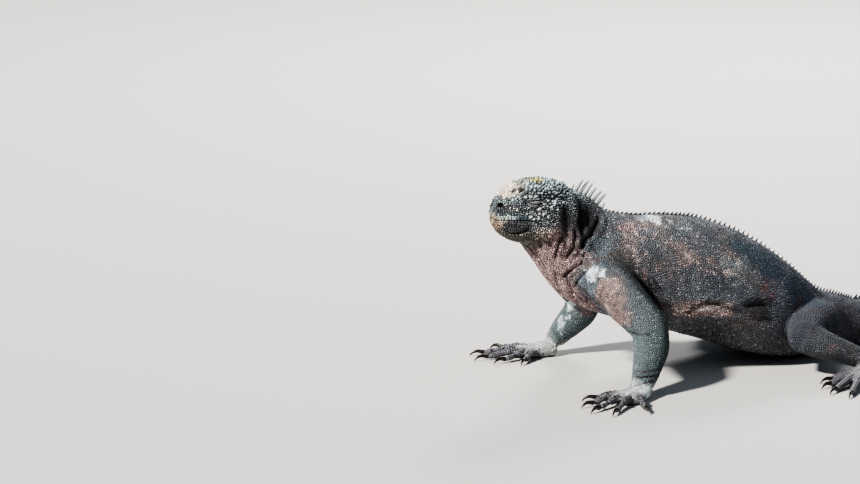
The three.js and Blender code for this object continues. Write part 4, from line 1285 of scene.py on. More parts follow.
def nearest_spots(places, reach=6):
    """The same facts for the skin spots nearest to given places, and which places have one."""
    found, triangle = [], []
    for i, place in enumerate(places.tolist()):
        spot, _, index, _ = SKIN_TREE.find_nearest(place, reach)
        if spot is not None:
            found.append((i, *spot))
            triangle.append(index)
    found = np.array(found).reshape(-1, 4)
    triangle = np.array(triangle, int)
    a, b, c = (SKIN_PLACES[SKIN_TRIANGLES[triangle, k]] for k in range(3))
    ab, ac, ap = b - a, c - a, found[:, 1:] - a
    d00, d01, d11 = (ab * ab).sum(1), (ab * ac).sum(1), (ac * ac).sum(1)
    d20, d21 = (ap * ab).sum(1), (ap * ac).sum(1)
    scale = np.maximum(d00 * d11 - d01 * d01, 1e-12)
    v = (d11 * d20 - d01 * d21) / scale
    w = (d00 * d21 - d01 * d20) / scale
    shares = np.clip(np.stack([1 - v - w, v, w], axis=1), 0, 1)
    shares = shares / shares.sum(1, keepdims=True)
    return skin_spots(triangle, shares), found[:, 0].astype(int)


def tree_of(places):
    """A search tree over listed places."""
    tree = KDTree(len(places))
    for i, place in enumerate(places):
        tree.insert(place, i)
    tree.balance()
    return tree


def scattered(spacing):
    """Spots all over the skin, no two closer than the spacing given for each triangle."""
    area = np.linalg.norm(SKIN_CROSSES, axis=1) / 2
    tries = np.where(spacing > 0, area / np.maximum(spacing, 0.1) ** 2 * TRIES, 0)
    triangle = np.repeat(np.arange(len(area)), rng.poisson(tries))
    rng.shuffle(triangle)
    root, other = np.sqrt(rng.random(len(triangle))), rng.random(len(triangle))
    shares = np.stack([1 - root, root * (1 - other), root * other], axis=1)
    listed = (SKIN_PLACES[SKIN_TRIANGLES[triangle]] * shares[..., None]).sum(1).tolist()
    tree = tree_of(listed)
    reach = spacing[triangle].tolist()
    taken = bytearray(len(listed))
    kept = []
    for i, place in enumerate(listed):
        if taken[i]:
            continue
        kept.append(i)
        for _, other_i, _ in tree.find_range(place, reach[i]):
            taken[other_i] = 1
    spots = skin_spots(triangle[kept], shares[kept])
    spots["spacing"] = spacing[triangle[kept]]
    return spots


def lies(spots):
    """Unit directions on the skin: along the lie, and across it."""
    along = spots["near"][:, 4:7]
    normal = spots["normal"]
    along = along - normal * (along * normal).sum(1)[:, None]
    weak = np.linalg.norm(along, axis=1) < 0.15
    along = np.where(weak[:, None], np.cross(normal, (0, 1, 0.2)), along)
    along = unit(along)
    return along, np.cross(normal, along)


def neighbours_of(places, count=10):
    """Numbers of the spots nearest to each spot."""
    listed = places.tolist()
    tree = tree_of(listed)
    near = [[found[1] for found in tree.find_n(place, count)] for place in listed]
    return np.array(near)[:, 1:]


def picked(spots, chosen):
    """The facts of the chosen spots."""
    return {key: value[chosen] for key, value in spots.items()}


def ring_angles(sides):
    """Angles of a scale's corners, none of them straight ahead."""
    return 2 * np.pi * (np.arange(sides) + 0.5) / sides


def ring_ways(along, across, sides):
    """Unit directions round each spot, on the skin."""
    angle = ring_angles(sides)
    return along[:, None] * np.cos(angle)[:, None] + across[:, None] * np.sin(angle)[:, None]


def ring_triangles(rings, sides, ends):
    """Triangles between the rings of a tube, closed at the one or two points after its last ring."""
    around = np.arange(sides)
    after = (around + 1) % sides
    faces = []
    for k in range(rings - 1):
        a, b = k * sides + around, k * sides + after
        faces += [np.stack([a, b, b + sides], 1), np.stack([a, b + sides, a + sides], 1)]
    last, closing = (rings - 1) * sides, rings * sides
    if ends == 2:
        faces.append(np.stack([around, np.full(sides, closing), after], 1))
    faces.append(np.stack([last + around, last + after, np.full(sides, closing + ends - 1)], 1))
    return np.concatenate(faces)


def cell_radii(spots, chosen, sides):
    """How far each chosen scale reaches in each direction before it meets its neighbours."""
    places, normals = spots["place"], spots["normal"]
    some = picked(spots, chosen)
    along, across = lies(some)
    near = some["neighbours"]
    away = places[near] - some["place"][:, None]
    agree = (normals[near] * some["normal"][:, None]).sum(2) > 0.2
    x = (away * along[:, None]).sum(2)
    y = (away * across[:, None]).sum(2)
    flat = np.maximum(x**2 + y**2, 1e-6)[..., None]
    angle = ring_angles(sides)
    dots = x[..., None] * np.cos(angle) + y[..., None] * np.sin(angle)
    reach = np.where((dots > 1e-3) & agree[..., None], flat / (2 * np.maximum(dots, 1e-3)), 1e9)
    reach = np.minimum(reach.min(1), some["spacing"][:, None] * 0.92)
    reach = reach + 0.35 * (reach.mean(1, keepdims=True) - reach)
    return reach * (1 + 0.05 * rng.normal(size=reach.shape).clip(-1.5, 1.5))


def scale_arrays(spots, radii, height, lean, levels):
    """Points, triangles and map places of one domed scale on each spot."""
    count, sides = radii.shape
    along, across = lies(spots)
    normal, place = spots["normal"], spots["place"]
    if "along" in spots:
        along = unit(spots["along"] - normal * (spots["along"] * normal).sum(1)[:, None])
        across = np.cross(normal, along)
    angle = ring_angles(sides)
    turns = np.stack([np.cos(angle), np.sin(angle)], 1)
    out = ring_ways(along, across, sides)
    bend = np.maximum(spots["near"][:, 3], 4)
    rings, flats = [], []
    for share, rise in levels:
        reach = radii * share
        lift = rise * height[:, None] - reach**2 / (2 * bend[:, None])
        shift = (lean * height * max(rise, 0))[:, None, None] * along[:, None]
        rings.append(place[:, None] + out * reach[..., None] + normal[:, None] * lift[..., None] + shift)
        flats.append(turns * reach[..., None])
    top = place + normal * height[:, None] + along * (lean * height)[:, None]
    points = np.concatenate([*rings, top[:, None]], axis=1)
    flat = np.concatenate([*flats, np.zeros((count, 1, 2))], axis=1)
    faces = ring_triangles(len(levels), sides, 1)
    triangles = (faces[None] + np.arange(count)[:, None, None] * points.shape[1]).reshape(-1, 3)
    widest = np.abs(flat).max(axis=(1, 2))[:, None, None]
    return points, triangles, spots["map"][:, None] + flat / (2 * widest) * PATCH


TRIES = 9  # tries for each scale that finds room
PATCH = 0.003  # width of a scale's own patch on the skin's map
# The skin between the scales is darkened with painted shade
SKIN_SHADE = 0.5  # of the scales' colour, for the skin seen between them
FACE_SHADE = 0.16  # the same on the head and neck
CREAM_SHADE = 0.62  # the same on the snout's cream patch
MOST_TRIANGLES = 195000  # in one piece


def fast_mesh(name, points, triangles, uv, colours, material):
    """A smooth piece from arrays, with the skin's map and colours."""
    mesh = bpy.data.meshes.new(name)
    mesh.vertices.add(len(points))
    mesh.vertices.foreach_set("co", (points * MM).astype(np.float32).ravel())
    mesh.loops.add(len(triangles) * 3)
    mesh.loops.foreach_set("vertex_index", triangles.astype(np.int32).ravel())
    mesh.polygons.add(len(triangles))
    mesh.polygons.foreach_set("loop_start", np.arange(0, len(triangles) * 3, 3, dtype=np.int32))
    mesh.polygons.foreach_set("use_smooth", np.ones(len(triangles), bool))
    mesh.update(calc_edges=True)
    layer = mesh.uv_layers.new(name="OFBake")
    layer.data.foreach_set("uv", uv[triangles.ravel()].astype(np.float32).ravel())
    add_paint(mesh, colours)
    made = placed(name, mesh)
    made.data.materials.append(material)
    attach(made, "root")
    return made


def add_scales(name, spots, radii, height, lean, levels, shades, material, colours):
    """Scale pieces on spots, each piece within the limit, in the colours given."""
    most = MOST_TRIANGLES // (radii.shape[1] * (2 * len(levels) - 1))
    parts = -(-len(radii) // most)
    shade = np.concatenate([np.repeat(shades[:-1], radii.shape[1]), shades[-1:]])
    for k in range(parts):
        chosen = slice(k * len(radii) // parts, (k + 1) * len(radii) // parts)
        points, triangles, uv = scale_arrays(picked(spots, chosen), radii[chosen], height[chosen],
                                             lean, levels)
        paint = colours[chosen][:, None] * shade[None, :, None]
        fast_mesh(f"{name}_{k + 1}" if parts > 1 else name, points.reshape(-1, 3), triangles,
                  uv.reshape(-1, 2), np.clip(paint, 0, 1).reshape(-1, 3), material)


def new_material(name):
    """A material with its nodes, links and shader, and a node that reads the piece's own paint."""
    made = bpy.data.materials.new(name)
    made.use_nodes = True
    nodes = made.node_tree.nodes
    paint = nodes.new("ShaderNodeAttribute")
    paint.attribute_name = "paint"
    return made, nodes, made.node_tree.links, nodes["Principled BSDF"], paint.outputs["Color"]


def new_node(nodes, kind, **values):
    """A shader node, with constant values on the inputs of those names."""
    made = nodes.new(f"ShaderNode{kind}")
    for name, value in values.items():
        made.inputs[name.replace("_", " ").title()].default_value = value
    return made


def grain_node(nodes, links, scale, detail):
    """Noise over the piece's own coordinates."""
    grain = new_node(nodes, "TexNoise", scale=scale, detail=detail)
    links.new(nodes.new("ShaderNodeTexCoord").outputs["Object"], grain.inputs["Vector"])
    return grain.outputs["Fac"]


def spread_node(nodes, links, value, **ends):
    """A value carried over to a range given by its ends."""
    spread = new_node(nodes, "MapRange", **ends)
    links.new(value, spread.inputs["Value"])
    return spread.outputs["Result"]


def scaled_paint(nodes, links, paint, factor, shader):
    """Joins the paint, made lighter or darker by a factor, to the shader's colour."""
    mix = nodes.new("ShaderNodeVectorMath")
    mix.operation = "SCALE"
    links.new(paint, mix.inputs[0])
    links.new(factor, mix.inputs["Scale"])
    links.new(mix.outputs["Vector"], shader.inputs["Base Color"])


def add_relief(nodes, links, height, shader, strength, distance):
    """Joins a fine relief, finer than any scale, to the shader."""
    relief = new_node(nodes, "Bump", strength=strength, distance=distance)
    links.new(height, relief.inputs["Height"])
    links.new(relief.outputs["Normal"], shader.inputs["Normal"])


def skin_material(name, roughness, shine, grain):
    """Scaly skin: its own colours with fine speckle, and a grain finer than the scales."""
    made, nodes, links, shader, paint = new_material(name)
    shader.inputs["Specular IOR Level"].default_value = shine
    speckle = grain_node(nodes, links, 950, 3)
    spread = spread_node(nodes, links, speckle, from_min=0.3, from_max=0.7, to_min=0.72, to_max=1.28)
    scaled_paint(nodes, links, paint, spread, shader)
    gloss = spread_node(nodes, links, speckle, to_min=roughness - 0.12, to_max=roughness + 0.14)
    links.new(gloss, shader.inputs["Roughness"])
    add_relief(nodes, links, grain_node(nodes, links, 2600, 2), shader, grain, 0.0003)
    return made


SKIN_LOOK = skin_material("skin_between_scales", 0.72, 0.35, 0.5)
SCALE_LOOK = skin_material("dry_scales", 0.55, 0.5, 0.35)
GLOSSY_LOOK = skin_material("smooth_scales", 0.42, 0.5, 0.2)
LIP_LOOK = skin_material("wet_lip", 0.33, 0.55, 0.15)

skin_near = MIDLINES[owners(SKIN_PLACES)]
skin_colours = painted(SKIN_PLACES, skin_near, skin_crease)
on_face = part_shares(SKIN_PLACES, 6)[:, (PART["head"], PART["neck"])].sum(1)[:, None]
skin_shades = SKIN_SHADE + (FACE_SHADE - SKIN_SHADE) * on_face
skin_straight = straightened(SKIN_PLACES)
on_cream = blob(skin_straight, 0, *SNOUT_CREAM)[:, None] * on_face
skin_shades = skin_shades + (CREAM_SHADE - skin_shades) * on_cream
# Painted shade on the skin between the scales, lighter on the cream snout
add_paint(skin_mesh, skin_colours * skin_shades)
skin_mesh.materials.clear()
skin_mesh.materials.append(SKIN_LOOK)


LIP_HIGH = 3.9  # the lip plates reach so far over and under the mouth line
LIP_LOW = 3.6
SHRINKING = (0.8, 0.8, 0.8, 0.7, 0.6)  # steps that draw a scale back from a bare pit
LID_SCALES = 4.9  # the lids' small scales reach so far from the eye's middle
DIGIT_SIDE_TILT = -0.15  # the cross plates of a digit cover it down to this tilt
# Least distances between scales on each part, and how much wider they are on some stretches
SPACING = {"head": 1.35, "neck": 1.15, "trunk": 1.36, "tail": 1.7, "upper_arm": 1.25,
           "forearm": 1.15, "hand": 1.05, "finger": 0.95, "thigh": 1.45, "shin": 1.35,
           "foot": 1.2, "toe": 1.0}
BELLY_WIDER = 1.1
CROWN_WIDER = 0.75
TEMPLE_WIDER = 0.5
LID_SPACING = 0.72
SNOUT_WIDE = ((-268, 0, 166), (15, 18, 13))
TEMPLE_WIDE = ((-238, 22, 157), (9, 10, 7))


def in_bare(points):
    """Whether places lie in a pit of the snout or in a nostril, where no scale reaches."""
    straight = yawed(points, back=True)
    inside = away_squared(mirrored(straight), NOSTRIL, NOSTRIL_BARE) < 1
    for centre, sizes, _ in PITS:
        inside |= away_squared(straight, centre, sizes) < 1
    return inside


def spacing_map():
    """Least distance between scales for each triangle of the skin, or nothing for bare stretches."""
    q = straightened(SKIN_CENTRES)
    part = MIDLINES[owners(SKIN_CENTRES), 7].astype(int)
    face = unit(SKIN_CROSSES)
    spacing = np.array([SPACING[name] for name in PARTS])[part]
    below = smoothstep(-face[:, 2], 0.55, 0.85) * np.isin(part, (PART["trunk"], PART["tail"]))
    spacing = spacing + below * BELLY_WIDER
    head = part == PART["head"]
    spacing = spacing + head * smoothstep(q[:, 2], 156, 164) * CROWN_WIDER
    for place, wider in ((SNOUT_WIDE, CROWN_WIDER), (TEMPLE_WIDE, TEMPLE_WIDER)):
        spacing = spacing + head * blob(q, 0, *place) * wider
    eye = eye_coordinates(q)
    lids = head & (lid_oval(eye) < LID_SCALES) & (eye[:, 1] > -2)
    spacing = np.where(lids, LID_SPACING, spacing)
    rise = q[:, 2] - mouth_height(q[:, 0])
    lip = head & (q[:, 0] < MOUTH_END - 2) & (rise > -LIP_LOW) & (rise < LIP_HIGH)
    back = np.abs(eye[:, 0] - LID_CENTRE[0])
    slit = (np.abs(eye[:, 2] - slit_line(eye[:, 0])[0]) < 0.85) & (back < SLIT_HALF + 0.6)
    slit |= lid_creases(eye) > 0.3
    slit &= head & (eye[:, 1] > -2) & (np.linalg.norm(eye, axis=1) < 11)
    hole = head & in_bare(SKIN_CENTRES)
    for centre, half, long in TUBERCLES + BROW_SCALES:
        hole |= head & (away_squared(q, centre, (half * (0.4 + 0.6 * long), 3, half)) < 1)
    digit_top = np.isin(part, (PART["finger"], PART["toe"])) & (face[:, 2] > DIGIT_SIDE_TILT)
    return np.where(lip | slit | hole | digit_top, 0, spacing)


def random_tone(colours, spread, pale_share, pale):
    """Colours varied from scale to scale, with a few pale ones among them."""
    count = len(colours)
    vary = np.exp(spread * rng.normal(size=count).clip(-2, 2) - spread**2 / 2)
    bright = (rng.random(count) < pale_share) * pale
    return np.clip(colours * (vary + bright)[:, None], 0.003, 0.95)


spots = scattered(spacing_map())
spots["neighbours"] = neighbours_of(spots["place"])
parts_here = spots["near"][:, 7].astype(int)
spots_straight = straightened(spots["place"])
spot_colours = painted(spots["place"], spots["near"], spots["crease"])
on_head = parts_here == PART["head"]
on_snout = on_head & (blob(spots_straight, 0, *SNOUT_CREAM) > 0.3)
on_crown = on_head & ~on_snout & (spots_straight[:, 2] > 158.5) & (spots_straight[:, 0] > -262)
eye_here = eye_coordinates(spots_straight)
on_lids = on_head & (lid_oval(eye_here) < LID_SCALES) & (eye_here[:, 1] > -2)
on_jaw = on_head & (spots_straight[:, 0] < -253)
on_jaw &= spots_straight[:, 2] < mouth_height(spots_straight[:, 0])


def members(*names):
    """Which of the spots lie on the named parts."""
    return np.isin(parts_here, [PART[name] for name in names])


# Forms of a scale: rings of reach and height, and how light each ring and the top are: painted shade at
# the scale's foot, a painted highlight on its top
BEAD = ((1.0, -0.22), (0.84, 0.48), (0.48, 0.88))
CONE = ((1.0, -0.22), (0.82, 0.4), (0.46, 0.84))
GRAIN = ((1.0, -0.2), (0.66, 0.7))
FLAT = ((1.0, -0.25), (0.84, 0.62), (0.5, 0.92))
DEEP_SHADES = (0.15, 0.5, 1.1, 1.55)
NECK_SHADES = (0.3, 1.0, 1.3)
GRAIN_SHADES = (0.62, 0.97, 1.08)
SNOUT_SHADES = (0.5, 0.82, 1.0, 1.05)
LID_SHADES = (0.6, 0.9, 1.05, 1.1)
# Each group: name, where, sides, form, shades, fill, height and its spread, slot, colour spread,
# and the share of pale scales.
GROUPS = (
    ("crown", on_crown, 8, CONE, DEEP_SHADES, 0.92, 0.68, 0.25, "head", 0.45, 0.16),
    ("snout", on_snout, 8, FLAT, SNOUT_SHADES, 0.98, 0.3, 0.3, "head", 0.24, 0.1),
    ("lids", on_lids, 7, FLAT, LID_SHADES, 0.92, 0.3, 0.1, "head", 0.16, 0.0),
    ("jaw", on_jaw, 8, FLAT, DEEP_SHADES, 0.95, 0.3, 0.15, "head", 0.35, 0.05),
    ("face", on_head & ~(on_crown | on_snout | on_jaw | on_lids), 8, BEAD, DEEP_SHADES, 0.85, 0.56,
     0.25, "head", 0.6, 0.16),
    ("neck", members("neck"), 7, GRAIN, NECK_SHADES, 0.9, 0.46, 0.15, "neck", 0.3, 0.06),
    ("trunk", members("trunk"), 6, GRAIN, GRAIN_SHADES, 0.97, 0.32, 0.15, "body", 0.27, 0.045),
    ("tail", members("tail"), 6, GRAIN, GRAIN_SHADES, 0.97, 0.3, 0.1, "body", 0.18, 0.02),
    ("arms", members("upper_arm", "forearm", "hand", "finger"), 6, GRAIN, GRAIN_SHADES, 0.97, 0.34,
     0.12, "limb", 0.2, 0.04),
    ("legs", members("thigh", "shin", "foot", "toe"), 6, GRAIN, GRAIN_SHADES, 0.97, 0.34, 0.12,
     "limb", 0.18, 0.03),
)
LEAN = 0.35
CROWN_LEAN = 0.12


def drawn_back(some, radii):
    """Radii of head scales, shortened where they would reach over a pit or a nostril."""
    out = ring_ways(*lies(some), radii.shape[1])
    for share in SHRINKING:
        reached = some["place"][:, None] + out * radii[..., None]
        over = in_bare(reached.reshape(-1, 3)).reshape(radii.shape)
        radii = np.where(over, radii * share, radii)
    return radii


for name, chosen, sides, form, shades, fill, tall, vary, slot, spread, pale_share in GROUPS:
    radii = cell_radii(spots, chosen, sides) * fill
    some = picked(spots, chosen)
    if slot == "head":
        radii = drawn_back(some, radii)
    size = radii.mean(1) * 1.9
    height = size * tall * (1 + vary * rng.normal(size=len(size)).clip(-1.2, 1.6))
    tone = random_tone(spot_colours[chosen], spread, pale_share, 1.2)
    look = GLOSSY_LOOK if name == "jaw" else SCALE_LOOK
    lean = CROWN_LEAN if name == "crown" else LEAN
    add_scales(f"scales_{name}", some, radii, height, lean, form, np.array(shades),
               look, tone)


def plates(places, along, halves, wides, name, look, tall, form, spread, shades, pale=0):
    """Set plates of given half-lengths and half-widths on the skin nearest to given places."""
    some, kept = nearest_spots(np.asarray(places))
    along, halves, wides = (np.asarray(values)[kept] for values in (along, halves, wides))
    some["along"] = along
    angle = ring_angles(PLATE_SIDES)
    radii = ((np.abs(np.cos(angle)) / halves[:, None]) ** PLATE_SQUARE
             + (np.abs(np.sin(angle)) / wides[:, None]) ** PLATE_SQUARE) ** (-1 / PLATE_SQUARE)
    colours = painted(some["place"], some["near"], some["crease"] * 0.5)
    colours = mixed(colours, TUBERCLE, pale + np.zeros(len(colours)))
    tone = random_tone(colours, spread, 0.08, 0.5)
    tall = (tall + 0 * wides) * (1 + 0.12 * rng.normal(size=len(halves)).clip(-1.5, 1.5))
    add_scales(name, some, radii, tall, 0.2, form, np.array(shades), look, tone)


PLATE_SIDES = 12
PLATE_SQUARE = 2.4  # 2 would make the plates oval, more makes them squarer
# The plates' shades are painted shade at each plate's foot and a painted highlight on its top
TUBERCLE_FORM = ((1.0, -0.3), (0.9, 0.3), (0.68, 0.72), (0.36, 0.94))
TUBERCLE_SHADES = (0.4, 0.75, 1.0, 1.25, 1.35)
LIP_FORM = ((1.0, -0.4), (0.86, 0.4), (0.58, 0.84))
LIP_SHADES = (0.25, 0.7, 1.0, 1.15)
# Rows of lip plates: name, height over the mouth line, pitch, half-height and thickness
LIP_ROWS = (("upper", 1.15, 2.6, 0.95, 0.42), ("upper_high", 2.95, 2.3, 0.95, 0.45),
            ("lower", -1.1, 2.4, 0.85, 0.36), ("lower_low", -2.75, 2.2, 0.9, 0.34))


def lip_line(rise_wanted):
    """Spots along a lip from the snout's tip to the mouth's corner, on the straight pose."""
    q = skin_straight
    rise = q[:, 2] - mouth_height(q[:, 0])
    near = (skin_near[:, 7] == PART["head"]) & (np.abs(rise - rise_wanted) < 0.5)
    near &= q[:, 0] < MOUTH_END
    turn = np.degrees(np.arctan2(q[near, 1], -(q[near, 0] + 250)))
    line = []
    for start in range(0, 94, 3):
        inside = (turn >= start) & (turn < start + 3)
        if inside.any():
            line.append(q[near][inside].mean(0))
    line = np.array(line)
    line[0, 1] = 0
    return line


def add_lips():
    """Rows of smooth plates along both lips, on either side of the snout's tip."""
    for word, rise, pitch, half_high, tall in LIP_ROWS:
        line = lip_line(rise)
        reach = np.concatenate([[0], np.cumsum(np.linalg.norm(np.diff(line, axis=0), axis=1))])
        stops = np.arange(pitch / 2 * word.count("_"), reach[-1] - 0.5, pitch)
        stops = stops + pitch * 0.13 * rng.normal(size=len(stops)).clip(-1.5, 1.5)
        spot = np.stack([np.interp(stops, reach, line[:, k]) for k in range(3)], axis=1)
        ahead = unit(np.gradient(spot, axis=0))
        places, along = [], []
        for side, _ in SIDES:
            first = 0 if side == LEFT or "_" in word else 1
            places.append(yawed(spot[first:] * (1, side, 1)))
            along.append(ahead[first:] * (1, side, 1))
        places, along = np.concatenate(places), np.concatenate(along)
        size = rng.uniform(0.86, 1.1, len(places))
        plates(places, along, size * pitch * 0.56, size * half_high, f"lip_plates_{word}",
               LIP_LOOK, tall, LIP_FORM, 0.3, LIP_SHADES)


def add_tubercles():
    """The face's big pale tubercles, and the long scales of the brow."""
    for name, listed, tall in (("head_tubercles", TUBERCLES, 1.2), ("brow_scales", BROW_SCALES, 1.5)):
        places, halves, wides = [], [], []
        for place, half, long in listed:
            places += [yawed(np.array(place) * (1, side, 1)) for side, _ in SIDES]
            halves += [half * long] * 2
            wides += [half] * 2
        along = np.tile([1.0, 0, 0.15], (len(places), 1))
        plates(places, along, halves, wides, name, SCALE_LOOK,
               tall * np.array(wides), TUBERCLE_FORM, 0.16, TUBERCLE_SHADES, 0.85)


def add_digit_plates():
    """Cross rows of plates over the fingers and toes: one broad plate and two beside it."""
    for limb in LIMBS:
        places, along, halves, wides = [], [], [], []
        for digit in limb["paw"]["digits"]:
            count = round(digit["length"] / 1.75)
            shares = (np.arange(count) + 0.6) / count
            for share, spot, ahead in zip(shares, spline(digit["spots"], shares),
                                          tangents(digit["spots"], shares)):
                side = unit(np.cross([0, 0, 1], ahead))
                up = np.cross(ahead, side)
                half = digit_half(share) + DIGIT_COAT
                for turn, wide in ((0, 23), (-43, 19), (43, 19), (-80, 17), (80, 17)):
                    angle = math.radians(turn)
                    places.append(spot + (up * math.cos(angle) + side * math.sin(angle)) * half)
                    along.append(ahead)
                    halves.append(digit["length"] / count * 0.56)
                    wides.append(half * math.radians(wide))
        word = f"{limb['word']}_{'finger' if limb['kind'] == 'arm' else 'toe'}_plates"
        plates(places, along, halves, wides, word, GLOSSY_LOOK, 0.42, FLAT, 0.14,
               DEEP_SHADES)


add_lips()
add_tubercles()
add_digit_plates()


def horn_material(name, dark, pale, roughness, scale):
    """Horn with fine grain between two tints of its own paint."""
    made, nodes, links, shader, paint = new_material(name)
    grain = grain_node(nodes, links, scale, 4)
    ramp = nodes.new("ShaderNodeValToRGB")
    for element, position, tint in zip(ramp.color_ramp.elements, (0.3, 0.75), (dark, pale)):
        element.position = position
        element.color = (*tint, 1)
    links.new(grain, ramp.inputs["Fac"])
    mix = new_node(nodes, "Mix")
    mix.data_type = "RGBA"
    mix.blend_type = "MULTIPLY"
    mix.inputs["Factor"].default_value = 1
    links.new(ramp.outputs["Color"], mix.inputs["A"])
    links.new(paint, mix.inputs["B"])
    links.new(mix.outputs["Result"], shader.inputs["Base Color"])
    gloss = spread_node(nodes, links, grain, to_min=roughness - 0.08, to_max=roughness + 0.12)
    links.new(gloss, shader.inputs["Roughness"])
    add_relief(nodes, links, grain, shader, 0.25, 0.0002)
    return made


def tube(spots, sides_vector, halves, heights, sides):
    """Points and triangles of a closed tube with oval rings and a point at each end."""
    along = unit(np.gradient(spots, axis=0))
    side = unit(np.cross(sides_vector, along))
    up = np.cross(along, side)
    angle = 2 * np.pi * np.arange(sides) / sides
    rings = (spots[:, None] + side[:, None] * (np.cos(angle)[:, None] * halves[:, None, None])
             + up[:, None] * (np.sin(angle)[:, None] * heights[:, None, None]))
    points = np.concatenate([rings.reshape(-1, 3), spots[:1], spots[-1:]])
    return points, ring_triangles(len(spots), sides, 2)


def tube_patch(rings, sides):
    """Places of a tube's points on its own patch of the map, from -1 to 1."""
    turn = np.tile(np.cos(2 * np.pi * np.arange(sides) / sides), rings)
    return np.concatenate([np.stack([turn, np.repeat(np.linspace(-1, 1, rings), sides)], 1),
                           [[0, -1], [0, 1]]])


def add_spines(name, rows, sides, rings, look):
    """Spines from rows of foot, outward direction, heading, height, half-length, thickness,
    bluntness and tone."""
    points, triangles, colours = [], [], []
    share = 1 - (1 - np.linspace(0, 1, rings)) ** 1.7
    each = rings * sides + 2
    shade = np.concatenate([np.repeat(0.45 + 0.65 * smoothstep(share, 0.05, 0.5), sides), [0.45, 1.1]])
    for i, (foot, out, back, height, half, thick, blunt, tone) in enumerate(rows):
        rise = share * (height + SPINE_SUNK) - SPINE_SUNK
        line = foot + np.outer(rise, out) + np.outer(SPINE_BEND * height * share**2, back)
        taper = np.maximum((1 - share**1.6) * (1 - blunt) + blunt * np.sqrt(1 - share**8), 0.03)
        some, faces = tube(line, unit(np.cross(out, back)), half * taper, thick * taper, sides)
        points.append(some)
        triangles.append(faces + i * each)
        colours.append(np.outer(shade, tone))
    home, _ = nearest_spots(np.array([row[0] for row in rows]), reach=20)
    uv = np.repeat(home["map"], each, axis=0)
    uv = uv + np.tile(tube_patch(rings, sides), (len(rows), 1)) * PATCH / 2
    fast_mesh(name, np.concatenate(points), np.concatenate(triangles), uv,
              np.clip(np.concatenate(colours), 0, 1), look)


SPINE_SUNK = 1.5
SPINE_BEND = 0.16  # how far a spine's tip bends back, as a share of its height
CREST_LOOK = horn_material("crest_horn", (0.72, 0.72, 0.72), (1.15, 1.15, 1.15), 0.5, 700)
# Crest: heights, form as half-length, half-thickness and bluntness, and the stations it spans
NUCHAL_HEIGHTS = (3.2, 5.6, 11.8, 12.5, 12.2, 10.8, 11, 11.2, 5)
NUCHAL_FORM = (1.75, 1.1, 0.55)
NUCHAL_SPAN = (0.5, 2.28)  # the first station, and how many stations lie between it and the last
TEETH_COUNT = 64
TEETH_FORM = (1.4, 0.8, 0.12)
TEETH_HEIGHT = 3.5
TEETH_SPAN = (3.0, 8.88)
TAIL_TEETH = 108
TAIL_TEETH_HEIGHT = 5.5


def back_line(station):
    """Top of the back at a station, and the direction out of it."""
    row = spline(BODY, np.array([station]) / (len(BODY) - 1))[0]
    top, low = np.array([row[0], 0, row[1]]), np.array([row[2], 0, row[3]])
    return yawed(top), unit(top - low)


def add_crest():
    """Long spines on the neck, and small teeth along the back and tail."""
    rows = []
    for i, tallest in enumerate(NUCHAL_HEIGHTS):
        share = i / (len(NUCHAL_HEIGHTS) - 1)
        top, _ = back_line(NUCHAL_SPAN[0] + NUCHAL_SPAN[1] * share)
        lean = math.radians(24 + 16 * share + rng.uniform(-6, 4))
        aside = rng.uniform(-0.1, 0.1)
        out = unit(np.array([math.sin(lean), aside, math.cos(lean)]))
        height = tallest * rng.uniform(0.94, 1.0)
        tone = np.array(SPINE_PALE) * rng.uniform(0.7, 1.2)
        rows.append((top, out, np.array([1.0, 0, -0.3]), height, *NUCHAL_FORM, tone))
    add_spines("neck_spines", rows, 10, 12, CREST_LOOK)
    rows = []
    for i in range(TEETH_COUNT):
        share = i / (TEETH_COUNT - 1)
        station = TEETH_SPAN[0] + TEETH_SPAN[1] * share
        top, up = back_line(station)
        lean = math.atan2(up[0], up[2]) + math.radians(30 + rng.uniform(-6, 6))
        out = unit(np.array([math.sin(lean), rng.uniform(-0.1, 0.1), math.cos(lean)]))
        height = TEETH_HEIGHT * (0.55 + 0.45 * smoothstep(station, 3, 5)) * rng.uniform(0.75, 1.0)
        tone = np.array(CHARCOAL) * rng.uniform(0.5, 1.3)
        rows.append((top, out, np.array([1.0, 0, 0]), height, *TEETH_FORM, tone))
    add_spines("back_crest", rows, 8, 7, CREST_LOOK)
    rows = []
    for i in range(TAIL_TEETH):
        share = (i + 0.5) / TAIL_TEETH
        place, heading, height, _ = (value[0] for value in tail_place(np.array([share])))
        top = np.array([place[0], place[1], place[2] + height / 2 - 0.5])
        back = np.array([math.cos(heading), math.sin(heading), 0])
        out = unit(back * 0.55 + np.array([0, 0, 1.0]))
        swell = math.sin(math.pi * min(0.25 + 1.5 * share, 1))
        tall = TAIL_TEETH_HEIGHT * (0.55 + 0.45 * swell) * (1 - 0.75 * share) * rng.uniform(0.85, 1.0)
        tone = np.array(CHARCOAL) * rng.uniform(0.5, 1.2)
        rows.append((top, out, back, tall, 2.0 * (1 - 0.5 * share), 0.85, 0.12, tone))
    add_spines("tail_crest", rows, 8, 7, CREST_LOOK)


add_crest()
CLAW_LOOK = horn_material("claw_horn", (0.5, 0.45, 0.42), (1.3, 1.15, 1.05), 0.32, 1400)


# A claw's midline: share of its length ahead of the digit's end, and height over the floor
CLAW_ROWS = np.array([(-0.2, 2.9), (0.08, 3.7), (0.4, 4.3), (0.72, 3.1), (0.97, 0.4)])
CLAW_RINGS = 22
CLAW_SIDES = 16


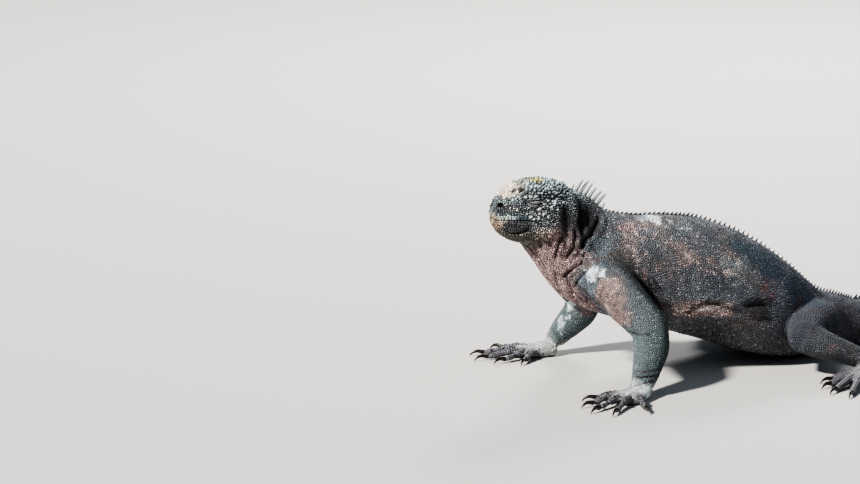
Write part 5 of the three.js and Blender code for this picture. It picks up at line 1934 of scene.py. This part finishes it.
def add_claws():
    """Curved claws, from inside each digit's end, with their tips near the floor."""
    shares = np.linspace(0, 1, CLAW_RINGS)
    row = spline(CLAW_ROWS, shares)
    high = CLAW_ROOT * (1 - shares) ** 0.7 + 0.22
    high = high * (1 - 0.4 * smoothstep(-shares, -0.16, 0))
    ring = np.repeat(shares, CLAW_SIDES)
    shade = np.concatenate([0.8 + 1.1 * smoothstep(ring, 0.55, 1), [0.8, 1.9]])
    for limb in LIMBS:
        word = f"{limb['word']}_{'hand' if limb['kind'] == 'arm' else 'foot'}"
        for i, digit in enumerate(limb["paw"]["digits"]):
            tip = digit["spots"][-1]
            line = tip + np.outer(row[:, 0] * CLAW_LENGTH, digit["ahead"])
            line[:, 2] = row[:, 1]
            points, triangles = tube(line, np.array([0, 0, 1.0]), high * 0.74, high, CLAW_SIDES)
            points[:, 2] = np.maximum(points[:, 2], 0.02)
            uv = nearest_spots(tip[None], reach=20)[0]["map"]
            uv = uv + tube_patch(CLAW_RINGS, CLAW_SIDES) * PATCH / 2
            made = fast_mesh(f"{word}_horn_{i + 1}", points, triangles, uv, np.outer(shade, HORN),
                             CLAW_LOOK)
            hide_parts(f"{word}_claw_{i + 1}")


add_claws()


def eye_material():
    """A wet, dark eye with fine fibres."""
    made, nodes, links, shader, paint = new_material("wet_eye")
    shader.inputs["Roughness"].default_value = 0.06
    shader.inputs["Coat Weight"].default_value = 0.8
    shader.inputs["Coat Roughness"].default_value = 0.03
    fibres = grain_node(nodes, links, 2400, 3)
    spread = spread_node(nodes, links, fibres, to_min=0.55, to_max=1.5)
    scaled_paint(nodes, links, paint, spread, shader)
    return made


EYE_RINGS = 24
EYE_AROUND = 40
EYE_FACING = (-0.25, -0.04)  # ahead and up, against 1 outward
EYE_WHITE = (0.02, 0.015, 0.013)
IRIS = (0.02, 0.011, 0.007)
PUPIL = (0.002, 0.002, 0.002)
LENS_BULGE = 0.05


def add_eyes():
    """Eyeballs of rings about their own axis, with a bulging front, iris and pupil."""
    look = eye_material()
    polar = np.linspace(0.02, np.pi - 0.02, EYE_RINGS)
    turn = 2 * np.pi * np.arange(EYE_AROUND) / EYE_AROUND
    bulge = EYE_RADIUS * 0.985 * (1 + LENS_BULGE * smoothstep(-polar, -0.6, -0.3))
    faces = ring_triangles(EYE_RINGS, EYE_AROUND, 2)[:, ::-1]
    every = np.concatenate([np.repeat(polar, EYE_AROUND), [0, np.pi]])
    colours = mixed(np.array(EYE_WHITE), IRIS, smoothstep(-every, -0.66, -0.58))
    colours = mixed(colours, PUPIL, smoothstep(-every, -0.3, -0.26))
    turned = np.concatenate([np.tile(turn, EYE_RINGS), [0, 0]])
    flat = np.stack([np.cos(turned), np.sin(turned)], 1) * (every / np.pi)[:, None]
    for side, word in SIDES:
        facing = unit(np.array([EYE_FACING[0], side, EYE_FACING[1]]))
        across = unit(np.cross([0, 0, 1.0], facing))
        ring = np.cos(turn)[:, None] * across + np.sin(turn)[:, None] * np.cross(facing, across)
        points = np.cos(polar)[:, None, None] * facing + np.sin(polar)[:, None, None] * ring
        centre = yawed(np.array(EYE_PLACE) * (1, side, 1))
        ends = [centre + facing * EYE_RADIUS * 1.03, centre - facing * EYE_RADIUS]
        points = np.concatenate([(points * bulge[:, None, None]).reshape(-1, 3) + centre, ends])
        home, _ = nearest_spots((centre + facing * 7)[None], reach=20)
        made = fast_mesh(f"{word}_eyeball", points, faces, home["map"] + flat * PATCH / 2, colours,
                         look)
        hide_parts(f"{word}_eye")


add_eyes()


def add_floor():
    """A plain pale floor, wide enough to fill the view."""
    look, _, _, shader, _ = new_material("floor_pale")
    shader.inputs["Base Color"].default_value = (*FLOOR_COLOUR, 1)
    shader.inputs["Roughness"].default_value = 0.9
    mesh = bpy.data.meshes.new("floor")
    corners = [(-FLOOR_REACH, -FLOOR_REACH, 0), (FLOOR_REACH, -FLOOR_REACH, 0),
               (FLOOR_REACH, FLOOR_REACH, 0), (-FLOOR_REACH, FLOOR_REACH, 0)]
    mesh.from_pydata(corners, [], [(0, 1, 2, 3)])
    floor = placed("floor", mesh)
    floor.data.materials.append(look)


def turned(made, place, ahead):
    """Sets an object at a place, looking ahead."""
    made.location = place
    made.rotation_mode = "QUATERNION"
    made.rotation_quaternion = ahead.to_track_quat("-Z", "Y")


def add_light(name, kind, place, aim, size, power, colour):
    """A sun, whose size is its angle, or a round soft lamp."""
    light = bpy.data.lights.new(name, kind)
    if kind == "SUN":
        light.angle = size
    else:
        light.shape = "DISK"
        light.size = size
    light.energy = power
    light.color = colour
    turned(placed(name, light), place, Vector(aim) - Vector(place))


FLOOR_REACH = 30
FLOOR_COLOUR = (0.52, 0.505, 0.485)
BACKDROP_COLOUR = (0.8, 0.795, 0.785)  # seen over the floor's far edge
GLOW_COLOUR = (0.72, 0.85, 1.0)
GLOW = 0.27


def add_world():
    """A dim blue glow on everything, and a plain pale backdrop for the camera."""
    world = bpy.data.worlds.new("studio")
    world.use_nodes = True
    nodes, links = world.node_tree.nodes, world.node_tree.links
    glow = nodes["Background"]
    glow.inputs["Color"].default_value = (*GLOW_COLOUR, 1)
    glow.inputs["Strength"].default_value = GLOW
    seen = nodes.new("ShaderNodeBackground")
    seen.inputs["Color"].default_value = (*BACKDROP_COLOUR, 1)
    path = nodes.new("ShaderNodeLightPath")
    mix = nodes.new("ShaderNodeMixShader")
    links.new(path.outputs["Is Camera Ray"], mix.inputs[0])
    links.new(glow.outputs["Background"], mix.inputs[1])
    links.new(seen.outputs["Background"], mix.inputs[2])
    links.new(mix.outputs["Shader"], nodes["World Output"].inputs["Surface"])
    bpy.context.scene.world = world
    bpy.context.scene.view_settings.view_transform = "AgX"
    bpy.context.scene.view_settings.look = "AgX - High Contrast"


def add_camera():
    """The photograph's view, from its azimuth and elevation."""
    a, e = CAMERA_AZIMUTH, CAMERA_ELEVATION
    back = Vector((math.sin(a) * math.cos(e), -math.cos(a) * math.cos(e), math.sin(e)))
    right = Vector((math.cos(a), math.sin(a), 0))
    target = Vector(AIM_FROM) + right * AIM_ASIDE + right.cross(-back) * AIM_UP
    data = bpy.data.cameras.new("camera")
    data.sensor_width = SENSOR
    data.lens = SENSOR * CAMERA_DISTANCE / VIEW_WIDTH
    data.clip_end = 100
    camera = placed("camera", data)
    turned(camera, target + back * CAMERA_DISTANCE, -back)
    bpy.context.scene.camera = camera


add_floor()
add_world()
add_camera()
# Lights: name, kind, place, aim, size, power and colour
for light in (
        ("key", "SUN", (-2.2, -0.5, 1.9), (-0.1, 0, 0.08), math.radians(6), 6.8, (1, 0.97, 0.92)),
        ("fill", "AREA", (1.3, -2.0, 0.9), (0, 0, 0.08), 1.2, 3, (0.86, 0.93, 1)),
        ("rim", "AREA", (0.9, 1.6, 1.3), (0, 0, 0.1), 0.6, 28, (1, 0.98, 0.95))):
    add_light(*light)
